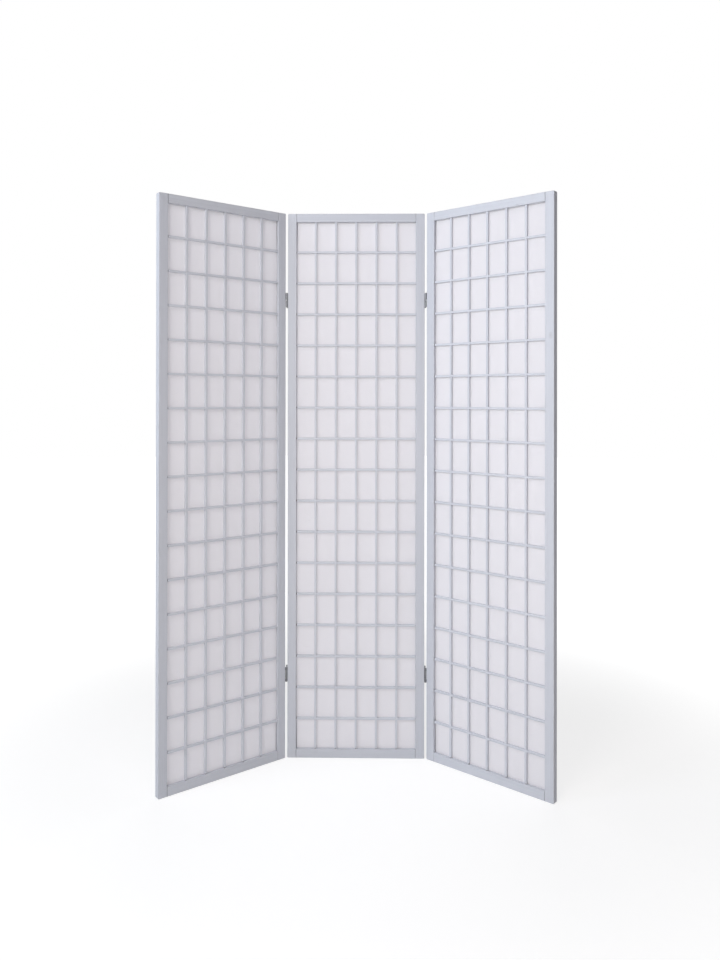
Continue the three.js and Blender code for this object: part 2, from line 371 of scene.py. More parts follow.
@dataclass(frozen=True)
class PaintedWood:
    """Thin satin paint on planed softwood, through which the grain still shows.

    A lump is a patch of the figure: its length along the grain and its width across it.
    """

    name: str
    slot: str
    paint: Colour
    grain_tint: Colour
    worn_tint: Colour
    wear_width: float
    # Bare wood coloured as it looks in shade: painted shade for tenons seen in narrow gaps.
    bare_tint: Colour = tone(104, 96, 88)
    seam_tint: Colour = tone(120, 121, 126)
    seam_width: float = 1.3 * MM
    grain_share: float = 0.5
    worn_share: float = 0.35
    relief_depth: float = 0.07 * MM
    roughness: float = 0.46
    streak: Lump = (110 * MM, 1.6 * MM)
    ring: Lump = (420 * MM, 7 * MM)
    pore: Lump = (7 * MM, 0.45 * MM)
    brush_mark: Lump = (300 * MM, 0.7 * MM)
    rub: Lump = (40 * MM, 5 * MM)
    knot: Lump = (130 * MM, 75 * MM)

    @functools.cache
    def material(self) -> bpy.types.Material:
        """Build the material once.

        Returns:
            The material.
        """
        material, bench = new_bench(self.name)
        along, across, depth = bench.attribute("stick_place").parts()
        lot, batch, butted = bench.attribute("stick_lot").parts()

        def grain(lump: Lump, detail: float, warp: float = 0.0) -> Wire:
            """Make noise in lumps that are stretched along the grain.

            Args:
                lump: The length and the width of a lump.
                detail: How many finer layers the noise has.
                warp: How far it is twisted.

            Returns:
                A value from 0 to 1, mostly near a half.
            """
            length, width = lump
            at = bench.vector(along / length + lot, across / width + lot, depth / width + lot)
            return bench.noise(at, detail=detail, warp=warp)

        streaks = grain(self.streak, 4.0)
        rings = grain(self.ring, 2.0, warp=0.6)
        pores = bench.ramp(grain(self.pore, 1.0), 0.64, 0.74)
        brush = grain(self.brush_mark, 2.0)
        knots = self._knots(bench, along, across, depth, lot)
        halves = bench.attribute("stick_half").parts()
        margins = [half - abs(place) for half, place in zip(halves, (along, across, depth))]
        edge = self._edge(bench, margins)
        # Painted shade: the tenon in the gap at a loose shoulder is bare wood, coloured as it looks in
        # the gap's shadow.
        tenon = bench.ramp(margins[0], -0.02 * MM, -0.3 * MM)
        seam = butted * bench.ramp(margins[0], self.seam_width, 0.2 * self.seam_width)
        rubbed = edge * bench.ramp(grain(self.rub, 3.0), 0.42, 0.62)

        figure = bench.ramp(rings * 0.6 + streaks * 0.4, 0.36, 0.66)
        colour = bench.blend(figure * self.grain_share, self.paint, self.grain_tint)
        colour = bench.blend(batch * 0.5, colour, self.grain_tint)
        colour = bench.blend(knots * 0.5 + pores * 0.3, colour, self.worn_tint)
        colour = bench.blend(rubbed * self.worn_share, colour, self.worn_tint)
        colour = bench.blend(seam * (0.45 + 0.5 * streaks), colour, self.seam_tint)
        colour = bench.blend(tenon * (0.75 + 0.5 * streaks).lower(1.0), colour, self.bare_tint)
        height = streaks * 0.5 + figure * 0.5 + brush * 0.25 - pores * 0.5 - knots * 0.4
        bench.show(
            bench.skin(
                Base_Color=colour,
                Roughness=self.roughness - 0.12 * rubbed + 0.14 * (streaks - 0.5),
                Normal=bench.relief(height, self.relief_depth),
            )
        )
        return material

    def _knots(self, bench: Bench, along: Wire, across: Wire, depth: Wire, lot: Wire) -> Wire:
        """Give the few knots that a timber has.

        Args:
            bench: The bench of the material.
            along: The place along the grain.
            across: The place across it.
            depth: The place through the timber.
            lot: The timber's own shift in the log.

        Returns:
            A value that is above 0 in a knot only.
        """
        length, width = self.knot
        at = bench.vector(along / length + lot, across / width + lot, depth / width + lot)
        cells = bench.node("ShaderNodeTexVoronoi", {}, {"Vector": at, "Scale": 1.0}, "Distance")
        colour = Wire(bench, cells.socket.node.outputs["Color"])
        chosen = bench.ramp(colour.parts()[0], 0.8, 0.84)
        distance = cells + (bench.noise(at, 14.0) - 0.5) * 0.03
        ring = bench.ramp(distance, 0.02, 0.05) * bench.ramp(distance, 0.1, 0.06)
        heart = bench.ramp(distance, 0.045, 0.02)
        return chosen * (ring * 0.6 + heart)

    def _edge(self, bench: Bench, margins: Sequence[Wire]) -> Wire:
        """Find the timber's eased edges, where two of its faces are near.

        Args:
            bench: The bench of the material.
            margins: How far the ends, the sides and the faces of its blank are.

        Returns:
            A value of 1 on the edges and 0 on the faces.
        """
        first, second, third = margins
        second_nearest = first.lower(second).higher(first.higher(second).lower(third))
        return bench.ramp(second_nearest, self.wear_width, 0.2 * self.wear_width)


@dataclass(frozen=True)
class ScreenPaper:
    """Stiff white paper with faint fibres, which lets part of the light through, with painted shade along
    its edge beside one stile.
    """

    name: str
    slot: str
    sheet: Colour
    fibre_tint: Colour
    glow: Colour
    sheerness: float
    glue_tint: Colour
    glue_width: float = 2.4 * MM
    glue_middle: float = 0.875
    glue_fade: float = 0.7
    glue_growth: float = 0.14
    glue_patches: float = 9.0
    roughness: float = 0.78
    relief_depth: float = 0.03 * MM
    cloud_scale: float = 30.0
    fibre_scale_along: float = 55.0
    fibre_scale_across: float = 420.0
    fibre_slants: tuple[float, ...] = (-40.0, 25.0, 160.0)
    fibre_lean: float = 8.0

    @functools.cache
    def material(self) -> bpy.types.Material:
        """Build the material once.

        Returns:
            The material.
        """
        material, bench = new_bench(self.name)
        x, y, z = bench.place().parts()
        cloud = bench.noise(bench.vector(x, y, z), self.cloud_scale, detail=3.0)
        fibres = []
        for slant in self.fibre_slants:
            along = x * self.fibre_scale_along + z * slant
            across = z * self.fibre_scale_across - x * slant * self.fibre_lean
            fibres.append(bench.noise(bench.vector(along, y, across), 1.0, 2.0, 1.5))
        fibre = fibres[0].higher(fibres[1]).higher(fibres[2])
        strand = bench.ramp(fibre, 0.6, 0.78)
        colour = bench.blend(cloud * 0.3 + strand * 0.45, self.sheet, self.fibre_tint)
        # Painted shade: a darker line along the edge beside a stile, standing in for the gap's shadow; it
        # also lets less light through.
        edge_shade = self._glue_line(bench, x, z)
        colour = bench.blend(edge_shade, colour, self.glue_tint)
        face = bench.skin(
            Base_Color=colour,
            Roughness=self.roughness + 0.1 * (cloud - 0.5),
            Normal=bench.relief(strand + cloud * 0.5, self.relief_depth),
        )
        through = bench.node("ShaderNodeBsdfTranslucent", {}, {"Color": (*self.glow, 1.0)})
        clear = self.sheerness * (1 - edge_shade)
        bench.show(bench.node("ShaderNodeMixShader", {}, {0: clear, 1: face, 2: through}))
        return material

    def _glue_line(self, bench: Bench, x: Wire, z: Wire) -> Wire:
        """Paint shade as a darker line along the sheet's edge beside a stile, where the gap there falls
        in shadow.

        Args:
            bench: The bench of the material.
            x: The place across the sheet, from its middle.
            z: The height.

        Returns:
            A value that is above 0 in the line, which is strongest towards the sheet's ends.
        """
        half_opening, phase, hand = bench.attribute("sheet_opening").parts()
        margin = half_opening - x * hand
        line = bench.ramp(margin, self.glue_width, 0.4 * self.glue_width)
        patches = bench.noise(bench.vector(phase, z * self.glue_patches, 0.0), detail=2.0)
        full = self.glue_fade + self.glue_growth
        heavier = bench.ramp(abs(z - self.glue_middle), self.glue_fade, full)
        return line * (0.35 * bench.ramp(patches, 0.4, 0.7) + heavier).lower(1.0)


@dataclass(frozen=True)
class PlatedSteel:
    """Zinc-plated sheet steel, brushed lengthways and a little dulled."""

    name: str
    slot: str
    metal: Colour
    dulled: Colour
    roughness: float
    brush_length: float = 9 * MM
    brush_width: float = 0.12 * MM
    relief_depth: float = 0.006 * MM
    mottle_scale: float = 420.0
    speck_scale: float = 1900.0

    @functools.cache
    def material(self) -> bpy.types.Material:
        """Build the material once.

        Returns:
            The material.
        """
        material, bench = new_bench(self.name)
        x, y, z = bench.place().parts()
        at = bench.vector(x / self.brush_width, y / self.brush_width, z / self.brush_length)
        brushed = bench.noise(at, detail=3.0)
        mottle = bench.noise(bench.vector(x, y, z), self.mottle_scale, detail=4.0, warp=0.4)
        dull = bench.ramp(mottle, 0.42, 0.66)
        dust = bench.noise(bench.vector(x, y, z), self.speck_scale, detail=1.0)
        specks = bench.ramp(dust, 0.68, 0.76)
        colour = bench.blend(dull * 0.7 + specks * 0.3, self.metal, self.dulled)
        bench.show(
            bench.skin(
                Base_Color=colour,
                Metallic=1.0,
                Roughness=self.roughness + 0.16 * dull + 0.18 * (brushed - 0.5),
                Normal=bench.relief(brushed - specks, self.relief_depth),
            )
        )
        return material


FRAME_PAINT = PaintedWood(
    name="frame_paint",
    slot="painted_frame",
    paint=tone(208, 211, 218),
    grain_tint=tone(196, 199, 207),
    worn_tint=tone(176, 176, 180),
    wear_width=2.2 * MM,
)
BAR_PAINT = PaintedWood(
    name="bar_paint",
    slot="painted_lattice",
    paint=tone(212, 215, 222),
    grain_tint=tone(201, 204, 212),
    worn_tint=tone(184, 184, 188),
    wear_width=1.2 * MM,
    relief_depth=0.05 * MM,
)
PAPER = ScreenPaper(
    name="screen_paper",
    slot="screen_paper",
    sheet=tone(239, 238, 240),
    fibre_tint=tone(229, 229, 232),
    glow=tone(237, 236, 239),
    sheerness=0.45,
    glue_tint=tone(122, 122, 128),
)
HINGE_STEEL = PlatedSteel(
    name="hinge_steel",
    slot="hinge_steel",
    metal=tone(134, 136, 139),
    dulled=tone(86, 87, 91),
    roughness=0.42,
)
SCREW_STEEL = PlatedSteel(
    name="screw_steel",
    slot="screw_steel",
    metal=tone(156, 157, 160),
    dulled=tone(110, 110, 113),
    roughness=0.34,
    brush_length=1.2 * MM,
)


# ---------- solids ----------


class Blank:
    """A closed solid that is worked as a maker works a blank."""

    def __init__(self) -> None:
        """Start with nothing on the bench."""
        self.form = bmesh.new()

    def block(self, x: Span, y: Span, z: Span) -> "Blank":
        """Add a box.

        Args:
            x: Its low and high end along X.
            y: The same along Y.
            z: The same along Z.

        Returns:
            This blank.
        """
        spans = (x, y, z)
        middle = Vector([(low + high) / 2 for low, high in spans])
        size = Vector([high - low for low, high in spans])
        place = Matrix.Translation(middle) @ Matrix.Diagonal((*size, 1.0))
        bmesh.ops.create_cube(self.form, size=1.0, matrix=place)
        return self

    def turned(
        self,
        rings: Sequence[tuple[float, float]],
        steps: int,
        place: Matrix = Matrix.Identity(4),
        swell: Callable[[float, float], float] | None = None,
    ) -> "Blank":
        """Add a solid that is turned about Z, closed by a point at both ends.

        Args:
            rings: The height and radius of each ring, from one end to the other.
            steps: The number of corners of a ring.
            place: Where the solid goes.
            swell: What is added to the radius at a height and an angle.

        Returns:
            This blank.
        """
        angles = [2 * math.pi * i / steps for i in range(steps)]
        loops = []
        for height, radius in rings[1:-1]:
            reach = [radius + (swell(height, angle) if swell else 0.0) for angle in angles]
            points = [
                Vector((r * math.cos(angle), r * math.sin(angle), height))
                for r, angle in zip(reach, angles)
            ]
            loops.append([self.form.verts.new(place @ point) for point in points])
        ends = [self.form.verts.new(place @ Vector((0.0, 0.0, rings[i][0]))) for i in (0, -1)]
        faces = []
        for i in range(steps):
            j = (i + 1) % steps
            faces.append(self.form.faces.new((ends[0], loops[0][j], loops[0][i])))
            faces.append(self.form.faces.new((ends[1], loops[-1][i], loops[-1][j])))
            for lower, upper in zip(loops, loops[1:]):
                faces.append(self.form.faces.new((lower[i], lower[j], upper[j], upper[i])))
        bmesh.ops.recalc_face_normals(self.form, faces=faces)
        return self

    def ease(self, radius: float, steps: int, wanted: Callable[[Vector, Vector], bool]) -> "Blank":
        """Round edges over.

        Args:
            radius: The radius of the rounding.
            steps: The facets across it.
            wanted: Says whether an edge between two points is rounded.

        Returns:
            This blank.
        """
        edges = [e for e in self.form.edges if wanted(e.verts[0].co, e.verts[1].co)]
        bmesh.ops.bevel(
            self.form,
            geom=edges,
            offset=radius,
            offset_type="OFFSET",
            segments=steps,
            profile=0.5,
            affect="EDGES",
            clamp_overlap=False,
        )
        return self

    def carve(self, tool: "Blank", how: Carving = Carving.CUT) -> "Blank":
        """Cut another solid out of this one, or join it on.

        Args:
            tool: The other solid, which is used up.
            how: Whether it is cut out or joined on.

        Returns:
            This blank.
        """
        meshes = [blank.as_mesh("work") for blank in (self, tool)]
        pair = [bpy.data.objects.new("work", mesh) for mesh in meshes]
        for each in pair:
            bpy.context.scene.collection.objects.link(each)
        modifier = pair[0].modifiers.new("carve", "BOOLEAN")
        modifier.operation = how.value
        modifier.solver = "EXACT"
        modifier.object = pair[1]
        depsgraph = bpy.context.evaluated_depsgraph_get()
        done = pair[0].evaluated_get(depsgraph)
        self.form.clear()
        self.form.from_mesh(done.to_mesh())
        done.to_mesh_clear()
        for each, mesh in zip(pair, meshes):
            bpy.data.objects.remove(each)
            bpy.data.meshes.remove(mesh)
        tool.form.free()
        return self

    def as_mesh(self, name: str) -> bpy.types.Mesh:
        """Write the solid to a new mesh.

        Args:
            name: The mesh's name.

        Returns:
            The mesh.
        """
        mesh = bpy.data.meshes.new(name)
        self.form.to_mesh(mesh)
        return mesh


def shaded(mesh: bpy.types.Mesh, crease: float = 32.0) -> bpy.types.Mesh:
    """Shade a mesh smoothly, but for its creases.

    Args:
        mesh: The mesh.
        crease: The angle in degrees from which an edge stays sharp.

    Returns:
        The same mesh.
    """
    mesh.polygons.foreach_set("use_smooth", [True] * len(mesh.polygons))
    mesh.set_sharp_from_angle(angle=math.radians(crease))
    return mesh


def carry(mesh: bpy.types.Mesh, label: str, values: Sequence[float]) -> None:
    """Write a vector for each point of a mesh, which its finish reads.

    Args:
        mesh: The mesh.
        label: The vectors' name.
        values: The numbers of all the vectors in a row, or of one that all points share.
    """
    shared = len(values) == 3
    row = list(values) * (len(mesh.vertices) if shared else 1)
    mesh.attributes.new(label, "FLOAT_VECTOR", "POINT").data.foreach_set("vector", row)


Finish = PaintedWood | ScreenPaper | PlatedSteel


def fit(
    name: str,
    mesh: bpy.types.Mesh,
    finish: Finish,
    placement: Matrix,
    body: str,
    nodes: Iterable[str],
) -> bpy.types.Object:
    """Put a piece in its place on the screen.

    Args:
        name: The piece's name.
        mesh: Its mesh.
        finish: Its finish.
        placement: Where it goes.
        body: The body that it moves with.
        nodes: The nodes that it stands for.

    Returns:
        The piece.
    """
    piece = bpy.data.objects.new(name, mesh)
    bpy.context.scene.collection.objects.link(piece)
    if not mesh.materials:
        mesh.materials.append(finish.material())
    piece.matrix_world = placement
    even = piece.modifiers.new("even_faces", "WEIGHTED_NORMAL")
    even.keep_sharp = True
    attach(piece, body)
    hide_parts(*nodes)
    log.info("%s: %d faces, on %s", name, len(mesh.polygons), body)
    return piece


# ---------- a panel ----------


@dataclass(frozen=True)
class PanelSizes:
    """The outer sizes of a panel, which all three share."""

    half_width: float
    height: float
    half_depth: float
    half_opening: float
    opening: Span
    rail_tenon_end: float
    lattice_depth: Span
    lattice_tenon_end: float
    lattice_tenon_span: Span
    paper_half_width: float
    paper_depth: Span
    paper_height: Span

    @classmethod
    def measured(cls) -> "PanelSizes":
        """Take the sizes from the centre panel.

        Returns:
            The sizes.
        """
        stile_low, stile_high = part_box("centre_stile_right")
        top_low, top_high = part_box("centre_rail_top")
        _, bottom_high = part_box("centre_rail_bottom")
        lattice_low, lattice_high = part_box("centre_lattice")
        paper_low, paper_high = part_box("centre_paper")
        return cls(
            half_width=stile_high.x,
            height=stile_high.z,
            half_depth=stile_high.y,
            half_opening=stile_low.x,
            opening=(bottom_high.z, top_low.z),
            rail_tenon_end=top_high.x,
            lattice_depth=(lattice_low.y, lattice_high.y),
            lattice_tenon_end=lattice_high.x,
            lattice_tenon_span=(lattice_low.z, lattice_high.z),
            paper_half_width=paper_high.x,
            paper_depth=(paper_low.y, paper_high.y),
            paper_height=(paper_low.z, paper_high.z),
        )


@dataclass(frozen=True)
class Timber:
    """A timber with its blank's box, its grain, its lot and whether its ends are butted."""

    blank: Blank
    spans: tuple[Span, Span, Span]
    grain: Grain
    lot: Vector
    butted: bool = False

    def mesh(self, name: str) -> bpy.types.Mesh:
        """Write the timber to a mesh that carries its grain.

        Args:
            name: The mesh's name.

        Returns:
            The mesh.
        """
        mesh = shaded(self.blank.as_mesh(name))
        middles = [(low + high) / 2 for low, high in self.spans]
        halves = [(high - low) / 2 for low, high in self.spans]
        axes = self.grain.value
        carry(mesh, "stick_place", [v.co[axis] - middles[axis] for v in mesh.vertices for axis in axes])
        carry(mesh, "stick_half", [halves[axis] for axis in axes])
        carry(mesh, "stick_lot", (self.lot.x, self.lot.y, float(self.butted)))
        return mesh


class TimberYard:
    """Hands out timbers, each from its own place in the log."""

    REACH = 40.0

    def __init__(self, seed: int) -> None:
        """Start the yard's own run of random numbers."""
        self.chance = random.Random(seed)

    def lot(self) -> Vector:
        """Give the next timber's shift in the log and how dark it is."""
        return Vector((self.chance.uniform(0, self.REACH), self.chance.random(), 0.0))


@dataclass
class LatticeGrid:
    """Where the thin bars lie: the middles of the columns and the rows."""

    sizes: PanelSizes
    bar_width: float = 6.5 * MM
    cell_columns: int = 6
    cell_rows: int = 17
    tenon_width: float = 4 * MM
    tenon_depth: float = 5 * MM

    @property
    def columns(self) -> list[float]:
        """The middles of the upright bars, from the left."""
        half = self.sizes.half_opening
        return self._middles((-half, half), self.cell_columns)

    @property
    def rows(self) -> list[float]:
        """The middles of the level bars, from the bottom."""
        return self._middles(self.sizes.opening, self.cell_rows)

    @property
    def middle_depth(self) -> float:
        """The depth at which the bars cross."""
        return sum(self.sizes.lattice_depth) / 2

    def _middles(self, opening: Span, cells: int) -> list[float]:
        """Share an opening out in equal cells with a bar between each two.

        Args:
            opening: The opening's two ends.
            cells: The number of cells.

        Returns:
            The middle of each bar.
        """
        start, end = opening
        bars = cells - 1
        cell = (end - start - bars * self.bar_width) / cells
        return [start + (i + 1) * cell + (i + 0.5) * self.bar_width for i in range(bars)]


@dataclass
class PanelFrame:
    """Two stiles with two rails tenoned between them."""

    sizes: PanelSizes
    grid: LatticeGrid
    yard: TimberYard
    corner_radius: float = 3 * MM
    edge_radius: float = 1.2 * MM
    butt_radius: float = 0.4 * MM
    joint_gap: float = 0.3 * MM
    groove_depth: float = 4.5 * MM
    mortise_depth: float = 5.5 * MM
    tenon_thickness: float = 8 * MM
    tenon_shoulder: float = 6 * MM
    tenon_spare: float = 0.5 * MM
    pilot_radius: float = 1.7 * MM
    pilot_depth: float = 13.3 * MM
    pilot_facets: int = 16
    corner_steps: int = 6
    edge_steps: int = 4
    butt_steps: int = 2

    def stile(self, side: Side, pilot_heights: Sequence[float]) -> Timber:
        """Make one upright.

        Args:
            side: The panel's side that it stands on.
            pilot_heights: The heights of its pilot holes for hinge screws.

        Returns:
            The timber.
        """
        sizes, sign = self.sizes, side.value
        outer = sign * sizes.half_width
        spans = (
            ordered(sign * sizes.half_opening, outer),
            (-sizes.half_depth, sizes.half_depth),
            (0.0, sizes.height),
        )
        blank = Blank().block(*spans)
        blank.ease(
            self.corner_radius,
            self.corner_steps,
            lambda a, b: abs(a.x - outer) < TINY and abs(b.x - outer) < TINY and abs(a.z - b.z) < TINY,
        )
        blank.ease(self.edge_radius, self.edge_steps, self._on_a_face)
        blank.carve(self._stile_tool(sign, pilot_heights))
        return Timber(blank, spans, Grain.UPRIGHT, self.yard.lot())

    def rail(self, edge: Edge) -> Timber:
        """Make one rail with its tenons.

        Args:
            edge: The panel's edge that it closes.

        Returns:
            The timber.
        """
        sizes, sign = self.sizes, edge.value
        end = sizes.half_opening - self.joint_gap
        inner = sizes.opening[edge is Edge.TOP]
        outer = sizes.height if edge is Edge.TOP else 0.0
        low, high = ordered(inner, outer)
        spans = ((-end, end), (-sizes.half_depth, sizes.half_depth), (low, high))
        blank = Blank().block(*spans)
        blank.ease(
            self.edge_radius,
            self.edge_steps,
            lambda a, b: self._on_a_face(a, b) and abs(a.z - b.z) < TINY,
        )
        blank.ease(
            self.butt_radius,
            self.butt_steps,
            lambda a, b: all(abs(abs(point.x) - end) < TINY for point in (a, b)),
        )
        tenon = self._tenon_span(edge)
        reach = sizes.rail_tenon_end
        blank.carve(Blank().block((-reach, reach), about(0, self.tenon_thickness), tenon), Carving.JOIN)
        across = (-sizes.half_width, sizes.half_width)
        tool = Blank().block(across, self._groove(), sunk_span(inner, sign, self.groove_depth))
        for middle in self.grid.columns:
            tool.block(
                about(middle, self.grid.tenon_width, self.joint_gap),
                about(self.grid.middle_depth, self.grid.tenon_depth, self.joint_gap),
                sunk_span(inner, sign, self.mortise_depth),
            )
        blank.carve(tool)
        return Timber(blank, spans, Grain.LEVEL, self.yard.lot(), butted=True)

    def _stile_tool(self, sign: int, pilot_heights: Sequence[float]) -> Blank:
        """Make all that is cut out of a stile.

        Args:
            sign: The sign along X of the stile's side.
            pilot_heights: The heights of its pilot holes.

        Returns:
            The groove, the mortises and the pilot holes as one tool of separate solids.
        """
        sizes = self.sizes
        inner = sign * sizes.half_opening
        bottom, top = sizes.opening
        grooved = (bottom - self.groove_depth, top + self.groove_depth)
        tool = Blank().block(sunk_span(inner, sign, self.groove_depth), self._groove(), grooved)
        for middle in self.grid.rows:
            tool.block(
                sunk_span(inner, sign, self.mortise_depth),
                about(self.grid.middle_depth, self.grid.tenon_depth, self.joint_gap),
                about(middle, self.grid.tenon_width, self.joint_gap),
            )
        tenon_reach = sizes.rail_tenon_end - sizes.half_opening + self.tenon_spare
        for edge in Edge:
            low, high = self._tenon_span(edge)
            tool.block(
                sunk_span(inner, sign, tenon_reach),
                about(0, self.tenon_thickness, self.joint_gap),
                (low - self.joint_gap, high + self.joint_gap),
            )
        inwards = Matrix.Rotation(-sign * math.pi / 2, 4, "Y")
        depths = (-OVERRUN, -OVERRUN, self.pilot_depth, self.pilot_depth)
        rings = [(depth, self.pilot_radius) for depth in depths]
        for height in pilot_heights:
            place = Matrix.Translation((sign * sizes.half_width, 0.0, height)) @ inwards
            tool.turned(rings, self.pilot_facets, place)
        return tool

    def _on_a_face(self, first: Vector, second: Vector) -> bool:
        """Say whether an edge lies in the panel's front or back face.

        Args:
            first: One end of the edge.
            second: Its other end.

        Returns:
            True where both ends lie in the same one of the two faces.
        """
        half = self.sizes.half_depth
        in_faces = all(abs(abs(point.y) - half) < TINY for point in (first, second))
        return in_faces and first.y * second.y > 0

    def _groove(self) -> Span:
        """Give the depths between which the paper's groove lies."""
        front, back = self.sizes.paper_depth
        return front - self.joint_gap, back + self.joint_gap

    def _tenon_span(self, edge: Edge) -> Span:
        """Give the heights between which a rail's tenons lie.

        Args:
            edge: The rail's edge of the panel.

        Returns:
            The low and the high end.
        """
        bottom, top = self.sizes.opening
        if edge is Edge.TOP:
            return top + self.tenon_shoulder, self.sizes.height - self.tenon_shoulder
        return self.tenon_shoulder, bottom - self.tenon_shoulder


@dataclass
class Lattice:
    """The thin bars, half-lapped where they cross, with short tenons into the frame."""

    sizes: PanelSizes
    grid: LatticeGrid
    yard: TimberYard
    front_radius: float = 0.5 * MM
    front_steps: int = 3
    loose_shoulder: float = 2 * MM
    tight_shoulder: float = 0.3 * MM
    lap_slack: float = 0.06 * MM

    def row(self, middle: float) -> Timber:
        """Make one level bar, which is notched at its back.

        Args:
            middle: The height of its middle.

        Returns:
            The timber.
        """
        half = self.sizes.half_opening
        across = about(middle, self.grid.bar_width)
        along = (self.loose_shoulder - half, half - self.tight_shoulder)
        spans = (along, self.sizes.lattice_depth, across)
        reach = self.sizes.lattice_tenon_end
        core = Blank().block((-reach, reach), self._tenon_depth(), about(middle, self.grid.tenon_width))
        notches = Blank()
        for crossing in self.grid.columns:
            notches.block(
                about(crossing, self.grid.bar_width, self.lap_slack),
                (self.grid.middle_depth - self.lap_slack, self.sizes.lattice_depth[1] + OVERRUN),
                (across[0] - OVERRUN, across[1] + OVERRUN),
            )
        return self._bar(spans, core, notches, Grain.LEVEL)

    def column(self, middle: float) -> Timber:
        """Make one upright bar, which is notched at its front.

        Args:
            middle: The place of its middle along X.

        Returns:
            The timber.
        """
        bottom, top = self.sizes.opening
        across = about(middle, self.grid.bar_width)
        along = (bottom + self.loose_shoulder, top - self.tight_shoulder)
        spans = (across, self.sizes.lattice_depth, along)
        core = Blank().block(
            about(middle, self.grid.tenon_width), self._tenon_depth(), self.sizes.lattice_tenon_span
        )
        notches = Blank()
        for crossing in self.grid.rows:
            notches.block(
                (across[0] - OVERRUN, across[1] + OVERRUN),
                (self.sizes.lattice_depth[0] - OVERRUN, self.grid.middle_depth + self.lap_slack),
                about(crossing, self.grid.bar_width, self.lap_slack),
            )
        return self._bar(spans, core, notches, Grain.UPRIGHT)

    def _bar(self, spans: tuple[Span, Span, Span], core: Blank, notches: Blank, grain: Grain) -> Timber:
        """Round a bar's front edges over, give it its tenons and notch it.

        Args:
            spans: The bar's box between its shoulders.
            core: The tenons, as one bar that runs through it.
            notches: What is cut out of it at its crossings.
            grain: The way its grain runs.

        Returns:
            The timber.
        """
        front = spans[1][0]
        blank = Blank().block(*spans)
        blank.ease(
            self.front_radius,
            self.front_steps,
            lambda a, b: abs(a.y - front) < TINY and abs(b.y - front) < TINY and self._long(a, b),
        )
        blank.carve(core, Carving.JOIN).carve(notches)
        return Timber(blank, spans, grain, self.yard.lot())

    def _long(self, first: Vector, second: Vector) -> bool:
        """Say whether an edge runs the bar's whole length."""
        return (first - second).length > 2 * self.grid.bar_width

    def _tenon_depth(self) -> Span:
        """Give the depths between which a tenon lies."""
        return about(self.grid.middle_depth, self.grid.tenon_depth)


@dataclass
class PaperSheet:
    """The sheet behind the bars, which waves a little between them."""

    sizes: PanelSizes
    grid: LatticeGrid
    # The side along which the sheet carries its painted shade line.
    glued_side: Side
    steps_in_a_cell: int = 4
    sag: float = 0.12 * MM
    rim_rise: float = 30.0
    crossed_waves: tuple[float, float] = (61.0, 37.0)
    slanted_wave: tuple[float, float] = (23.0, 19.0)

    def mesh(self, name: str, phase: float) -> bpy.types.Mesh:
        """Make the sheet.

        Args:
            name: The mesh's name.
            phase: What makes its waves and its painted edge shade differ from another sheet's.

        Returns:
            The mesh.
        """
        half = self.sizes.paper_half_width
        across = self.grid.cell_columns * self.steps_in_a_cell
        upwards = self.grid.cell_rows * self.steps_in_a_cell
        low, high = self.sizes.paper_height
        columns = [2 * half * i / across - half for i in range(across + 1)]
        rows = [low + (high - low) * i / upwards for i in range(upwards + 1)]
        form = bmesh.new()
        sides = []
        for face in self.sizes.paper_depth:
            side = []
            for z in rows:
                side.append([form.verts.new((x, face + self._wave(x, z, phase), z)) for x in columns])
            sides.append(side)
        front, back = sides
        for j in range(upwards):
            for i in range(across):
                form.faces.new((front[j][i], front[j][i + 1], front[j + 1][i + 1], front[j + 1][i]))
                form.faces.new((back[j][i], back[j + 1][i], back[j + 1][i + 1], back[j][i + 1]))
        rims = (
            [(front[0][i], back[0][i]) for i in range(across + 1)]
            + [(front[j][-1], back[j][-1]) for j in range(1, upwards + 1)]
            + [(front[-1][i], back[-1][i]) for i in range(across - 1, -1, -1)]
            + [(front[j][0], back[j][0]) for j in range(upwards - 1, 0, -1)]
        )
        for (here, behind), (after, behind_after) in zip(rims, rims[1:] + rims[:1]):
            form.faces.new((here, behind, behind_after, after))
        bmesh.ops.recalc_face_normals(form, faces=form.faces)
        mesh = bpy.data.meshes.new(name)
        form.to_mesh(mesh)
        form.free()
        carry(mesh, "sheet_opening", (self.sizes.half_opening, phase, self.glued_side.value))
        return shaded(mesh)

    def _wave(self, x: float, z: float, phase: float) -> float:
        """Give how far the sheet is pushed back at a place, which is nothing at its rim.

        Args:
            x: The place along X.
            z: The height.
            phase: The sheet's own phase.

        Returns:
            A length.
        """
        low, high = self.sizes.paper_height
        margins = (self.sizes.paper_half_width - abs(x), z - low, high - z)
        rim = min(1.0, *(margin * self.rim_rise for margin in margins))
        level, upright = self.crossed_waves
        crossed = math.sin(x * level + phase) * math.sin(z * upright + 2 * phase)
        level, upright = self.slanted_wave
        slanted = math.sin(x * level - z * upright + 3 * phase)
        return self.sag * 0.5 * max(rim, 0.0) * (crossed + slanted)


